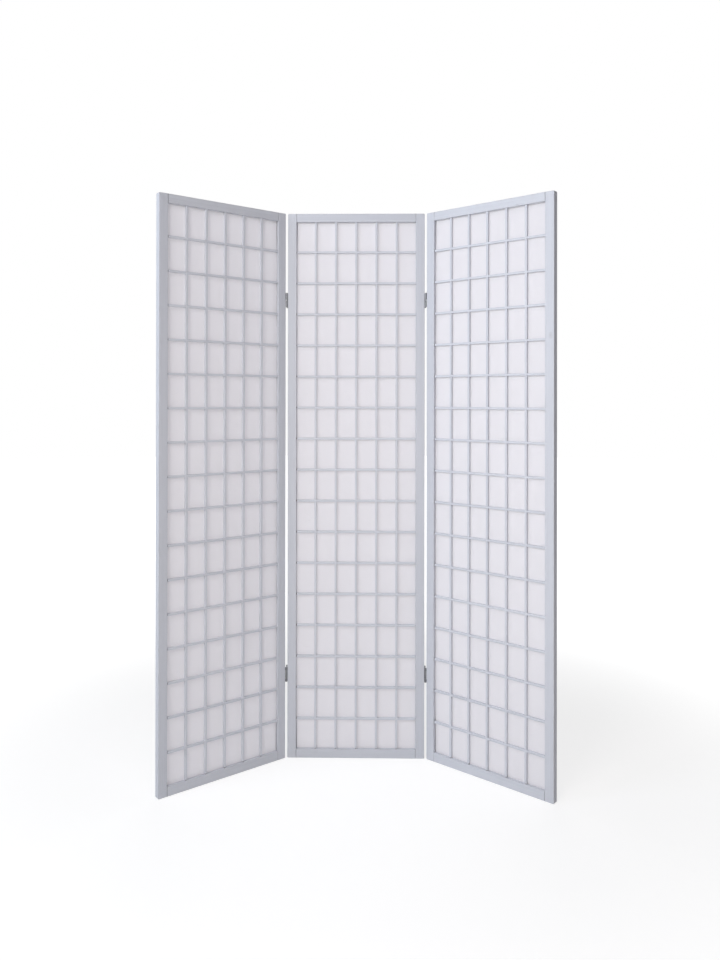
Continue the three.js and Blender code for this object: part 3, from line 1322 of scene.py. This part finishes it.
@dataclass
class Panel:
    """One panel of the screen: its frame, its lattice and its paper."""

    name: str
    placement: Matrix
    sizes: PanelSizes
    yard: TimberYard
    hinged_sides: Sequence[Side]
    pilot_heights: Sequence[float]
    grid: LatticeGrid = field(init=False)
    phase_in_a_metre: float = 9.0

    def __post_init__(self) -> None:
        """Lay the lattice out."""
        self.grid = LatticeGrid(self.sizes)

    @property
    def body(self) -> str:
        """The body that the panel's pieces move with."""
        return f"{self.name}_panel"

    def build(self) -> None:
        """Make the panel's pieces and put them in place."""
        self._build_frame()
        self._build_lattice()
        name = f"{self.name}_paper"
        paper = PaperSheet(self.sizes, self.grid, self.hinged_sides[0])
        phase = self.placement.translation.x * self.phase_in_a_metre
        sheet = paper.mesh(f"{name}_sheet", phase)
        self._fit(f"{name}_sheet", sheet, PAPER, name)

    def _build_frame(self) -> None:
        """Make the stiles and the rails."""
        frame_shop = PanelFrame(self.sizes, self.grid, self.yard)
        for side in Side:
            name = f"{self.name}_stile_{side.word}"
            heights = self.pilot_heights if side in self.hinged_sides else ()
            self._fit_timber(f"{name}_timber", frame_shop.stile(side, heights), FRAME_PAINT, name)
        for edge in Edge:
            name = f"{self.name}_rail_{edge.word}"
            self._fit_timber(f"{name}_timber", frame_shop.rail(edge), FRAME_PAINT, name)

    def _build_lattice(self) -> None:
        """Make the thin bars."""
        lattice = Lattice(self.sizes, self.grid, self.yard)
        node = f"{self.name}_lattice"
        for number, middle in enumerate(self.grid.rows, start=1):
            self._fit_timber(f"{self.name}_row_{number:02d}", lattice.row(middle), BAR_PAINT, node)
        for number, middle in enumerate(self.grid.columns, start=1):
            self._fit_timber(f"{self.name}_column_{number}", lattice.column(middle), BAR_PAINT, node)

    def _fit_timber(self, name: str, timber: Timber, finish: PaintedWood, node: str) -> None:
        """Put a timber in place."""
        self._fit(name, timber.mesh(name), finish, node)

    def _fit(self, name: str, mesh: bpy.types.Mesh, finish: Finish, node: str) -> None:
        """Put a mesh in place as a piece of this panel."""
        fit(name, mesh, finish, self.placement, self.body, [node])


# ---------- hinges ----------


@dataclass(frozen=True)
class Run:
    """A stretch of bent sheet: its length, and the radius of its turn to the left, if any."""

    length: float
    radius: float = 0.0


@dataclass(frozen=True)
class SheetPath:
    """The line that the middle of a bent sheet follows, from a start heading along +Y."""

    start: Vector
    runs: Sequence[Run]

    def at(self, distance: float) -> tuple[Vector, Vector]:
        """Find a place on the line.

        Args:
            distance: How far along it lies.

        Returns:
            The place, and the direction square to the line on its right.
        """
        point, heading, left = self.start.copy(), math.pi / 2, distance
        for run in self.runs:
            step = left if run is self.runs[-1] else min(left, run.length)
            if run.radius:
                turn = step / run.radius
                centre = point + run.radius * Vector((-math.sin(heading), math.cos(heading)))
                heading += turn
                point = centre - run.radius * Vector((-math.sin(heading), math.cos(heading)))
            else:
                point = point + step * Vector((math.cos(heading), math.sin(heading)))
            left -= step
            if left <= 0:
                break
        return point, Vector((math.sin(heading), -math.cos(heading)))


@dataclass(frozen=True)
class HingeRow:
    """The hinges at one height: their name, their middle and how their knuckles share it."""

    name: str
    height: float
    shares: Sequence[float]
    slit: float

    def knuckles(self, leaf_height: float, first: int) -> list[Span]:
        """Give the spans of every second knuckle.

        Args:
            leaf_height: The hinge's whole height.
            first: 0 for the leaves' knuckles and 1 for the link's.

        Returns:
            The spans about the hinge's middle, from the bottom up.
        """
        spans, top = [], leaf_height / 2
        for i, share in enumerate(self.shares):
            bottom = top - share * leaf_height
            top_trim = self.slit / 2 if i > 0 else 0.0
            bottom_trim = self.slit / 2 if i < len(self.shares) - 1 else 0.0
            spans.append((bottom + bottom_trim, top - top_trim))
            top = bottom
        return sorted(spans[first::2])


@dataclass
class HingeShop:
    """Makes the pieces of a double-acting hinge about the middle of the gap between panels."""

    leaf_height: float
    pin_distance: float
    pin_radius: float
    pin_end: float
    screw_offset: float
    bore_radius: float = 1.7 * MM
    thickness: float = 1.2 * MM
    plate_reach: float = 7.6 * MM
    corner_radius: float = 2 * MM
    corner_steps: int = 6
    rim_radius: float = 0.16 * MM
    rim_steps: int = 2
    dome_steps: int = 6
    leaf_wrap: float = math.radians(298)
    link_neck_radius: float = 0.8 * MM
    link_tip_clearance: float = 0.15 * MM
    roll_step: float = math.radians(12)
    screw_length: float = 14 * MM
    shank_radius: float = 1.4 * MM
    head_radius: float = 2.6 * MM
    head_depth: float = 1.1 * MM
    tip_length: float = 3 * MM
    sunk: float = 0.1 * MM
    sink_clearance: float = 0.2 * MM
    thread_pitch: float = 1.15 * MM
    thread_height: float = 0.2 * MM
    thread_start: float = 1.2 * MM
    thread_run_in: float = 1 * MM
    thread_sharpness: float = 6.0
    thread_rings: int = 56
    tip_rings: int = 10
    face_share: float = 0.6
    face_inset: float = 0.08 * MM
    rim_top: float = 0.04 * MM
    rim_foot: float = 0.14 * MM
    neck_fillet: float = 0.05 * MM
    core_drop: float = 0.1 * MM
    screw_crease: float = 28.0
    slot_length: float = 2.5 * MM
    slot_width: float = 0.5 * MM
    slot_depth: float = 0.75 * MM
    slot_taper: tuple[float, float] = (0.35, 0.6)
    facets: int = 32

    @property
    def roll_radius(self) -> float:
        """The radius of a knuckle at the middle of its sheet."""
        return self.bore_radius + self.thickness / 2

    def leaf(self, name: str, panel_side: Side, pin: Pin, knuckles: Sequence[Span]) -> bpy.types.Mesh:
        """Make a leaf: a plate with countersunk holes and knuckles rolled round one pin.

        Args:
            name: The mesh's name.
            panel_side: The side of the gap on which its panel lies.
            pin: The pin that its knuckles turn on.
            knuckles: The knuckles' spans.

        Returns:
            The mesh.
        """
        straight = self.pin_distance
        path = SheetPath(
            Vector((self.roll_radius, 0.0)),
            (Run(straight), Run(self.leaf_wrap * self.roll_radius, self.roll_radius)),
        )
        developed = straight + self.leaf_wrap * self.roll_radius
        blank = self._sheet_blank(developed, knuckles, one_sided=True)
        self._roll(blank, path, straight, developed)
        for offset in (-self.screw_offset, self.screw_offset):
            blank.carve(self._countersink(offset))
        signs = Matrix.Diagonal((panel_side.value, pin.value, 1, 1))
        bmesh.ops.transform(blank.form, matrix=signs, verts=blank.form.verts)
        if signs.is_negative:
            bmesh.ops.reverse_faces(blank.form, faces=blank.form.faces)
        return shaded(blank.as_mesh(name))

    def link(self, name: str, knuckles: Sequence[Span]) -> bpy.types.Mesh:
        """Make the link: a plate in the middle of the gap with knuckles on both pins.

        Args:
            name: The mesh's name.
            knuckles: The knuckles' spans.

        Returns:
            The mesh.
        """
        neck, roll = self.link_neck_radius, self.roll_radius
        rise = math.sqrt((neck + roll) ** 2 - neck**2)
        straight = self.pin_distance - rise
        neck_turn = math.acos(neck / (neck + roll))
        tip = math.acos((self.thickness + self.link_tip_clearance) / roll)
        wrap = neck_turn + math.pi + tip
        runs = (Run(straight), Run(neck * neck_turn, -neck), Run(roll * wrap, roll))
        developed = sum(run.length for run in runs)
        blank = self._sheet_blank(developed, knuckles, one_sided=False)
        self._roll(blank, SheetPath(Vector((0.0, 0.0)), runs), straight, developed)
        return shaded(blank.as_mesh(name))

    def pin(self, name: str) -> bpy.types.Mesh:
        """Make a hinge pin with domed ends.

        Args:
            name: The mesh's name.

        Returns:
            The mesh, about its own middle.
        """
        shank, end = self.leaf_height / 2, self.pin_end
        dome = [
            (shank + (end - shank) * math.sin(angle), self.pin_radius * math.cos(angle))
            for angle in (math.pi / 2 * i / self.dome_steps for i in range(self.dome_steps))
        ]
        upper = dome + [(end, 0.0)]
        lower = [(-height, radius) for height, radius in reversed(upper)]
        return shaded(Blank().turned(lower + upper, self.facets).as_mesh(name))

    def screw(self, name: str) -> bpy.types.Mesh:
        """Make a countersunk wood screw with a cross slot, its head up and its tip down.

        Args:
            name: The mesh's name.

        Returns:
            The mesh, with the middle of its head's face at the origin.
        """
        core = self.shank_radius - self.thread_height
        tip_start = self.tip_length - self.screw_length
        neck = -self.head_depth
        count = self.thread_rings
        lengths = [neck + (tip_start - neck) * i / count for i in range(1, count + 1)]
        tip = [tip_start - self.tip_length * i / self.tip_rings for i in range(1, self.tip_rings)]
        face = (self.head_radius * self.face_share, self.head_radius - self.face_inset)
        rings = [(0.0, 0.0)] + [(0.0, radius) for radius in face]
        rings += [(-self.rim_top, self.head_radius), (-self.rim_foot, self.head_radius)]
        rings += [(neck - self.neck_fillet, self.shank_radius)]
        rings += [(z - self.core_drop, core) for z in lengths]
        rings += [(z, core * (z + self.screw_length) / self.tip_length) for z in tip]
        rings += [(-self.screw_length, 0.0)]

        def thread(height: float, angle: float) -> float:
            """Give how far the thread stands out of the core.

            Args:
                height: The height on the screw.
                angle: The angle about it.

            Returns:
                A length, which fades out towards the neck and the tip.
            """
            grip = min(1.0, max(0.0, (neck - self.thread_start - height) / self.thread_run_in))
            fade = min(1.0, (height + self.screw_length) / self.tip_length)
            phase = (height / self.thread_pitch + angle / (2 * math.pi)) % 1.0
            ridge = max(0.0, 1 - abs(phase - 0.5) * self.thread_sharpness)
            return grip * fade * self.thread_height * ridge

        blank = Blank().turned(rings, self.facets, swell=thread)
        for turn in (0.0, math.pi / 2):
            blank.carve(self._slot_tool(turn))
        return shaded(blank.as_mesh(name), crease=self.screw_crease)

    def _slot_tool(self, turn: float) -> Blank:
        """Make one arm of the tool that presses the cross slot.

        Args:
            turn: The arm's angle about the screw.

        Returns:
            The tool.
        """
        tool = Blank().block(
            about(0, self.slot_length), about(0, self.slot_width), (-self.slot_depth, OVERRUN)
        )
        along, across = self.slot_taper
        for vertex in tool.form.verts:
            if vertex.co.z < 0:
                vertex.co.x *= along
                vertex.co.y *= across
        bmesh.ops.rotate(tool.form, matrix=Matrix.Rotation(turn, 3, "Z"), verts=tool.form.verts)
        return tool

    def _countersink(self, offset: float) -> Blank:
        """Make the tool that sinks a screw's head into a leaf on the right of the gap.

        Args:
            offset: Its height about the hinge's middle.

        Returns:
            The tool.
        """
        head = self.head_radius + self.sink_clearance
        neck = self.shank_radius + self.sink_clearance
        end = self.thickness + OVERRUN
        rings = [(-OVERRUN, 0.0), (-OVERRUN, head), (self.sunk, head)]
        rings += [(self.sunk + self.head_depth, neck), (end, neck), (end, 0.0)]
        place = Matrix.Translation((self.bore_radius, 0.0, offset)) @ Matrix.Rotation(math.pi / 2, 4, "Y")
        return Blank().turned(rings, self.facets, place)

    def _sheet_blank(self, developed: float, knuckles: Sequence[Span], one_sided: bool) -> Blank:
        """Cut a flat blank: a plate with a tab for each knuckle, before it is rolled.

        Args:
            developed: How far from the middle the tabs reach along the flat sheet.
            knuckles: The tabs' spans.
            one_sided: Whether only one side has tabs; the other then has round corners.

        Returns:
            The blank, with its thickness along X and the sheet along Y and Z.
        """
        half = self.leaf_height / 2
        right = self._tabbed_side(developed, knuckles)
        if one_sided:
            left = self._corner(-self.plate_reach, half, (1, -1), math.pi / 2)
            left += self._corner(-self.plate_reach, -half, (1, 1), math.pi)
        else:
            left = [(-reach, height) for reach, height in reversed(right)]
        blank = Blank()
        outline = [blank.form.verts.new((-self.thickness / 2, y, z)) for y, z in right + left]
        sheet = blank.form.faces.new(outline)
        drawn = bmesh.ops.extrude_face_region(blank.form, geom=[sheet])["geom"]
        moved = [item for item in drawn if isinstance(item, bmesh.types.BMVert)]
        bmesh.ops.translate(blank.form, vec=(self.thickness, 0.0, 0.0), verts=moved)
        bmesh.ops.recalc_face_normals(blank.form, faces=blank.form.faces)
        return blank.ease(self.rim_radius, self.rim_steps, lambda a, b: abs(a.x - b.x) < TINY)

    def _tabbed_side(self, developed: float, knuckles: Sequence[Span]) -> list[tuple[float, float]]:
        """Trace the side of a blank that has tabs, from the bottom up.

        Args:
            developed: How far out the tabs reach.
            knuckles: The tabs' spans, from the bottom up.

        Returns:
            The points along the sheet and up it.
        """
        half, reach = self.leaf_height / 2, self.plate_reach
        points: list[tuple[float, float]] = []
        if knuckles[0][0] > -half + TINY:
            points += self._corner(reach, -half, (-1, 1), -math.pi / 2)
        for low, high in knuckles:
            if low > -half + TINY:
                points.append((reach, low))
            points += [(developed, low), (developed, high)]
            if high < half - TINY:
                points.append((reach, high))
        if knuckles[-1][1] < half - TINY:
            points += self._corner(reach, half, (-1, -1), 0.0)
        return points

    def _corner(
        self, y: float, z: float, inwards: tuple[int, int], start: float
    ) -> list[tuple[float, float]]:
        """Round a corner of a plate off.

        Args:
            y: The corner's place along the sheet.
            z: The corner's height.
            inwards: The signs of the way to the middle of the plate.
            start: The angle at which the quarter circle starts.

        Returns:
            The points of a quarter circle.
        """
        middle = (y + inwards[0] * self.corner_radius, z + inwards[1] * self.corner_radius)
        angles = [start + math.pi / 2 * i / self.corner_steps for i in range(self.corner_steps + 1)]
        return [
            (middle[0] + self.corner_radius * math.cos(a), middle[1] + self.corner_radius * math.sin(a))
            for a in angles
        ]

    def _roll(self, blank: Blank, path: SheetPath, straight: float, developed: float) -> None:
        """Roll a blank's tabs round their pins.

        Args:
            blank: The flat blank.
            path: The line that the sheet's middle follows on its +Y side.
            straight: Where on the sheet the bending starts.
            developed: Where it ends.
        """
        count = math.ceil((developed - straight) / (self.roll_step * self.roll_radius))
        stations = [self.plate_reach + 2 * TINY]
        stations += [straight + (developed - straight) * i / count for i in range(count)]
        for station in stations:
            for sign in (-1, 1):
                form = blank.form
                bmesh.ops.bisect_plane(
                    form,
                    geom=form.verts[:] + form.edges[:] + form.faces[:],
                    dist=TINY,
                    plane_co=(0.0, sign * station, 0.0),
                    plane_no=(0.0, 1.0, 0.0),
                )
        for vertex in blank.form.verts:
            side, outwards, height = vertex.co
            sign = -1 if outwards < 0 and path.start.length < TINY else 1
            if path.start.length > TINY and outwards < 0:
                point, right = path.start + Vector((0.0, outwards)), Vector((1.0, 0.0))
            else:
                point, right = path.at(abs(outwards))
            bent = point * sign + right * side
            vertex.co = (bent.x, bent.y, height)


@dataclass
class Hinges:
    """The two hinges of one gap, in their bodies."""

    side: Side
    shop: HingeShop
    rows: Sequence[HingeRow]
    gap: Matrix
    wing_gap: Matrix
    chance: random.Random

    def build(self) -> None:
        """Make the pieces of both hinges and put them in place."""
        pin_mesh = self.shop.pin(f"{self.side.word}_hinge_pin")
        screw_mesh = self.shop.screw(f"{self.side.word}_hinge_screw")
        inner = Side(-self.side.value)
        for row in self.rows:
            name = f"{self.side.word}_hinge_{row.name}"
            rise = Matrix.Translation((0.0, 0.0, row.height))
            leaves = (
                ("centre_leaf", inner, Pin.BACK, self.gap @ rise, "centre_panel"),
                ("wing_leaf", self.side, Pin.FRONT, self.wing_gap @ rise, f"{self.side.word}_panel"),
            )
            for label, panel_side, pin, place, body in leaves:
                self._leaf(f"{name}_{label}", panel_side, pin, place, body, row, screw_mesh)
            links = f"{self.side.word}_links"
            link = self.shop.link(f"{name}_link_plate", row.knuckles(self.shop.leaf_height, 1))
            fit(f"{name}_link_plate", link, HINGE_STEEL, self.gap @ rise, links, [f"{name}_link"])
            for pin in Pin:
                node = f"{name}_{pin.name.lower()}_pin"
                shift = Matrix.Translation((0.0, pin.value * self.shop.pin_distance, 0.0))
                fit(f"{node}_rod", pin_mesh, SCREW_STEEL, self.gap @ rise @ shift, links, [node])

    def _leaf(
        self,
        node: str,
        panel_side: Side,
        pin: Pin,
        place: Matrix,
        body: str,
        row: HingeRow,
        screw_mesh: bpy.types.Mesh,
    ) -> None:
        """Put a leaf and its screws in place.

        Args:
            node: The leaf's node.
            panel_side: The side of the gap on which its panel lies.
            pin: The pin that it turns on.
            place: Where the hinge's middle is.
            body: The body that it moves with.
            row: The hinge's row.
            screw_mesh: The mesh that all screws share.
        """
        plate = self.shop.leaf(f"{node}_plate", panel_side, pin, row.knuckles(self.shop.leaf_height, 0))
        fit(f"{node}_plate", plate, HINGE_STEEL, place, body, [node])
        sign = panel_side.value
        depth = sign * (self.shop.bore_radius + self.shop.sunk)
        for number, offset in enumerate((-self.shop.screw_offset, self.shop.screw_offset), start=1):
            seat = Matrix.Translation((depth, 0.0, offset)) @ Matrix.Rotation(-sign * math.pi / 2, 4, "Y")
            spin = Matrix.Rotation(self.chance.uniform(0, math.pi), 4, "Z")
            screw = f"{node}_screw_{number}"
            fit(f"{screw}_steel", screw_mesh, SCREW_STEEL, place @ seat @ spin, body, [screw])


# ---------- the screen ----------


@dataclass
class Wing:
    """Where a wing hangs: its hinge axes and how far it is folded forward."""

    side: Side
    pivot: Vector
    fold: float

    @classmethod
    def measured(cls, side: Side) -> "Wing":
        """Take the wing's axis and fold from its front joint.

        Args:
            side: The wing's side.

        Returns:
            The wing.
        """
        joint = next(j for j in frame["joints"] if j["name"] == f"{side.word}_front_fold")
        return cls(side, Vector(joint["pos_m"]), math.radians(-joint["range_deg"][0]))

    @property
    def gap(self) -> Matrix:
        """The middle of the gap beside the centre panel."""
        return Matrix.Translation((self.pivot.x, 0.0, 0.0))

    @property
    def wing_gap(self) -> Matrix:
        """The middle of the gap as the folded wing carries it round.

        Returns:
            Its place and turn.
        """
        turn = Matrix.Rotation(-self.side.value * self.fold, 4, "Z")
        there = Matrix.Translation((self.pivot.x, self.pivot.y, 0.0))
        return there @ turn @ Matrix.Translation((0.0, -self.pivot.y, 0.0))

    @property
    def panel(self) -> Matrix:
        """The place of the wing's panel."""
        return self.wing_gap @ Matrix.Translation((self.pivot.x, 0.0, 0.0))


@dataclass
class FoldingScreen:
    """The whole screen: three panels and the hinges of two gaps."""

    sizes: PanelSizes
    yard: TimberYard
    screw_offset: float = 13.5 * MM
    upper_slit: float = 2.4 * MM
    lower_slit: float = 0.6 * MM

    def build(self) -> None:
        """Make all the pieces in order."""
        rows = self._hinge_rows()
        heights = [row.height + sign * self.screw_offset for row in rows for sign in (-1, 1)]
        Panel("centre", Matrix.Identity(4), self.sizes, self.yard, tuple(Side), heights).build()
        shop = self._hinge_shop()
        for side in Side:
            wing = Wing.measured(side)
            hinged = (Side(-side.value),)
            Panel(side.word, wing.panel, self.sizes, self.yard, hinged, heights).build()
            Hinges(side, shop, rows, wing.gap, wing.wing_gap, self.yard.chance).build()

    def _hinge_rows(self) -> list[HingeRow]:
        """Take the hinges' heights from their links.

        Returns:
            The upper row and the lower row.
        """
        kinds = (("upper", (0.5, 0.5), self.upper_slit), ("lower", (0.2, 0.6, 0.2), self.lower_slit))
        rows = []
        for name, shares, slit in kinds:
            low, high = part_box(f"left_hinge_{name}_link")
            rows.append(HingeRow(name, (low.z + high.z) / 2, shares, slit))
        return rows

    def _hinge_shop(self) -> HingeShop:
        """Take the hinges' main sizes from one link and its back pin.

        Returns:
            The shop that makes them.
        """
        link_low, link_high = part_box("left_hinge_upper_link")
        pin_low, pin_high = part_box("left_hinge_upper_back_pin")
        return HingeShop(
            leaf_height=link_high.z - link_low.z,
            pin_distance=(pin_low.y + pin_high.y) / 2,
            pin_radius=(pin_high.x - pin_low.x) / 2,
            pin_end=(pin_high.z - pin_low.z) / 2,
            screw_offset=self.screw_offset,
        )


# ---------- studio ----------


@dataclass(frozen=True)
class SoftBox:
    """A soft lamp, placed by its direction from the screen, that faces the screen's middle."""

    name: str
    azimuth: float
    elevation: float
    distance: float
    width: float
    height: float
    power: float
    tint: Colour

    def build(self, aim: Vector) -> None:
        """Hang the lamp.

        Args:
            aim: The point that it faces.
        """
        lamp = bpy.data.lights.new(self.name, "AREA")
        lamp.shape = "RECTANGLE"
        lamp.size, lamp.size_y = self.width, self.height
        lamp.energy = self.power
        lamp.color = self.tint
        stand = bpy.data.objects.new(self.name, lamp)
        bpy.context.scene.collection.objects.link(stand)
        azimuth, elevation = math.radians(self.azimuth), math.radians(self.elevation)
        level = math.cos(elevation)
        way = Vector((math.sin(azimuth) * level, -math.cos(azimuth) * level, math.sin(elevation)))
        stand.location = aim + way * self.distance
        stand.rotation_euler = way.to_track_quat("Z", "Y").to_euler()
        stand.visible_camera = False


@dataclass(frozen=True)
class PhotoCamera:
    """The photograph's camera, as fitted to the corners of the three panels in it."""

    place: Vector = Vector((-0.0045, -2.59, 1.152))
    yaw: float = math.radians(0.93)
    pitch: float = math.radians(0.124)
    roll: float = math.radians(0.074)
    focal_pixels: float = 802.2
    picture_width: float = 720.0
    picture_height: float = 960.0
    centre_x: float = 341.67
    centre_y: float = 397.83

    def build(self) -> None:
        """Set the camera up."""
        data = bpy.data.cameras.new("photo_camera")
        data.lens = self.focal_pixels * data.sensor_width / self.picture_height
        data.shift_x = (self.picture_width / 2 - self.centre_x) / self.picture_height
        data.shift_y = (self.centre_y - self.picture_height / 2) / self.picture_height
        camera = bpy.data.objects.new("photo_camera", data)
        bpy.context.scene.collection.objects.link(camera)
        turn = (
            Matrix.Rotation(self.yaw, 3, "Z")
            @ Matrix.Rotation(self.pitch, 3, "X")
            @ Matrix.Rotation(-self.roll, 3, "Y")
        )
        upright = Matrix.Rotation(math.pi / 2, 3, "X")
        camera.matrix_world = Matrix.Translation(self.place) @ (turn @ upright).to_4x4()
        bpy.context.scene.camera = camera


@dataclass
class Studio:
    """A plain pale floor, soft lamps and the camera."""

    aim: Vector = Vector((0.0, -0.1, 0.95))
    floor_radius: float = 14.0
    floor_sides: int = 96
    floor_drop: float = 0.5 * MM
    ambient: Colour = (0.1, 0.1, 0.1)
    floor_white: float = 0.9
    floor_glow: float = 1.16
    shadow_share: float = 0.36
    shadow_reach: Span = (0.8, 2.2)
    lamps: Sequence[SoftBox] = (
        SoftBox("side_lamp", -62.0, 25.0, 3.6, 1.4, 1.8, 34.7, (0.87, 1.0, 1.17)),
        SoftBox("key_lamp", -28.0, 25.0, 3.6, 1.4, 1.8, 51.8, (1.02, 1.0, 0.98)),
        SoftBox("high_lamp", 0.0, 58.0, 3.6, 1.8, 1.4, 11.0, (1.04, 1.0, 1.25)),
        SoftBox("near_lamp", 4.0, 2.0, 1.5, 0.8, 1.2, 4.4, (1.1, 1.0, 0.92)),
        SoftBox("back_lamp", 180.0, 25.0, 4.0, 3.0, 2.4, 44.0, (1.0, 1.0, 1.0)),
    )

    def build(self) -> None:
        """Set the studio up."""
        scene = bpy.context.scene
        scene.view_settings.view_transform = "Standard"
        self._floor()
        self._world()
        for lamp in self.lamps:
            lamp.build(self.aim)
        PhotoCamera().build()

    def _floor(self) -> None:
        """Lay the floor, which looks white but keeps the screen's shadow."""
        form = bmesh.new()
        bmesh.ops.create_circle(
            form, cap_ends=True, segments=self.floor_sides, radius=self.floor_radius
        )
        mesh = bpy.data.meshes.new("studio_floor")
        form.to_mesh(mesh)
        form.free()
        floor = bpy.data.objects.new("studio_floor", mesh)
        bpy.context.scene.collection.objects.link(floor)
        floor.location.z = -self.floor_drop
        material, bench = new_bench("studio_floor")
        length = bench.node("ShaderNodeVectorMath", {"operation": "LENGTH"}, {0: bench.place()}, "Value")
        far = bench.ramp(length, *self.shadow_reach)
        near_white = 1 - self.shadow_share
        share = bench.seen() * (near_white + far * self.shadow_share)
        ground = (self.floor_white,) * 3
        lit = bench.node("ShaderNodeBsdfDiffuse", {}, {"Color": (*ground, 1.0)})
        glow = {"Color": (1.0, 1.0, 1.0, 1.0), "Strength": self.floor_glow}
        white = bench.node("ShaderNodeEmission", {}, glow)
        bench.show(bench.node("ShaderNodeMixShader", {}, {0: share, 1: lit, 2: white}))
        mesh.materials.append(material)

    def _world(self) -> None:
        """Light everything softly, and show white behind the screen."""
        world = bpy.data.worlds.new("studio")
        world.use_nodes = True
        bpy.context.scene.world = world
        bench = Bench(world.node_tree)
        soft = bench.node("ShaderNodeBackground", {}, {"Color": (*self.ambient, 1.0), "Strength": 1.0})
        white = bench.node("ShaderNodeBackground", {}, {"Color": (1.0, 1.0, 1.0, 1.0), "Strength": 1.0})
        both = bench.node("ShaderNodeMixShader", {}, {0: bench.seen(), 1: soft, 2: white})
        bench.show(both, "ShaderNodeOutputWorld")


def main() -> None:
    """Build the screen and the studio."""
    logging.basicConfig(level=logging.INFO, format="%(message)s")
    FoldingScreen(PanelSizes.measured(), TimberYard(LOT_SEED)).build()
    Studio().build()


if __name__ == "__main__":
    main()
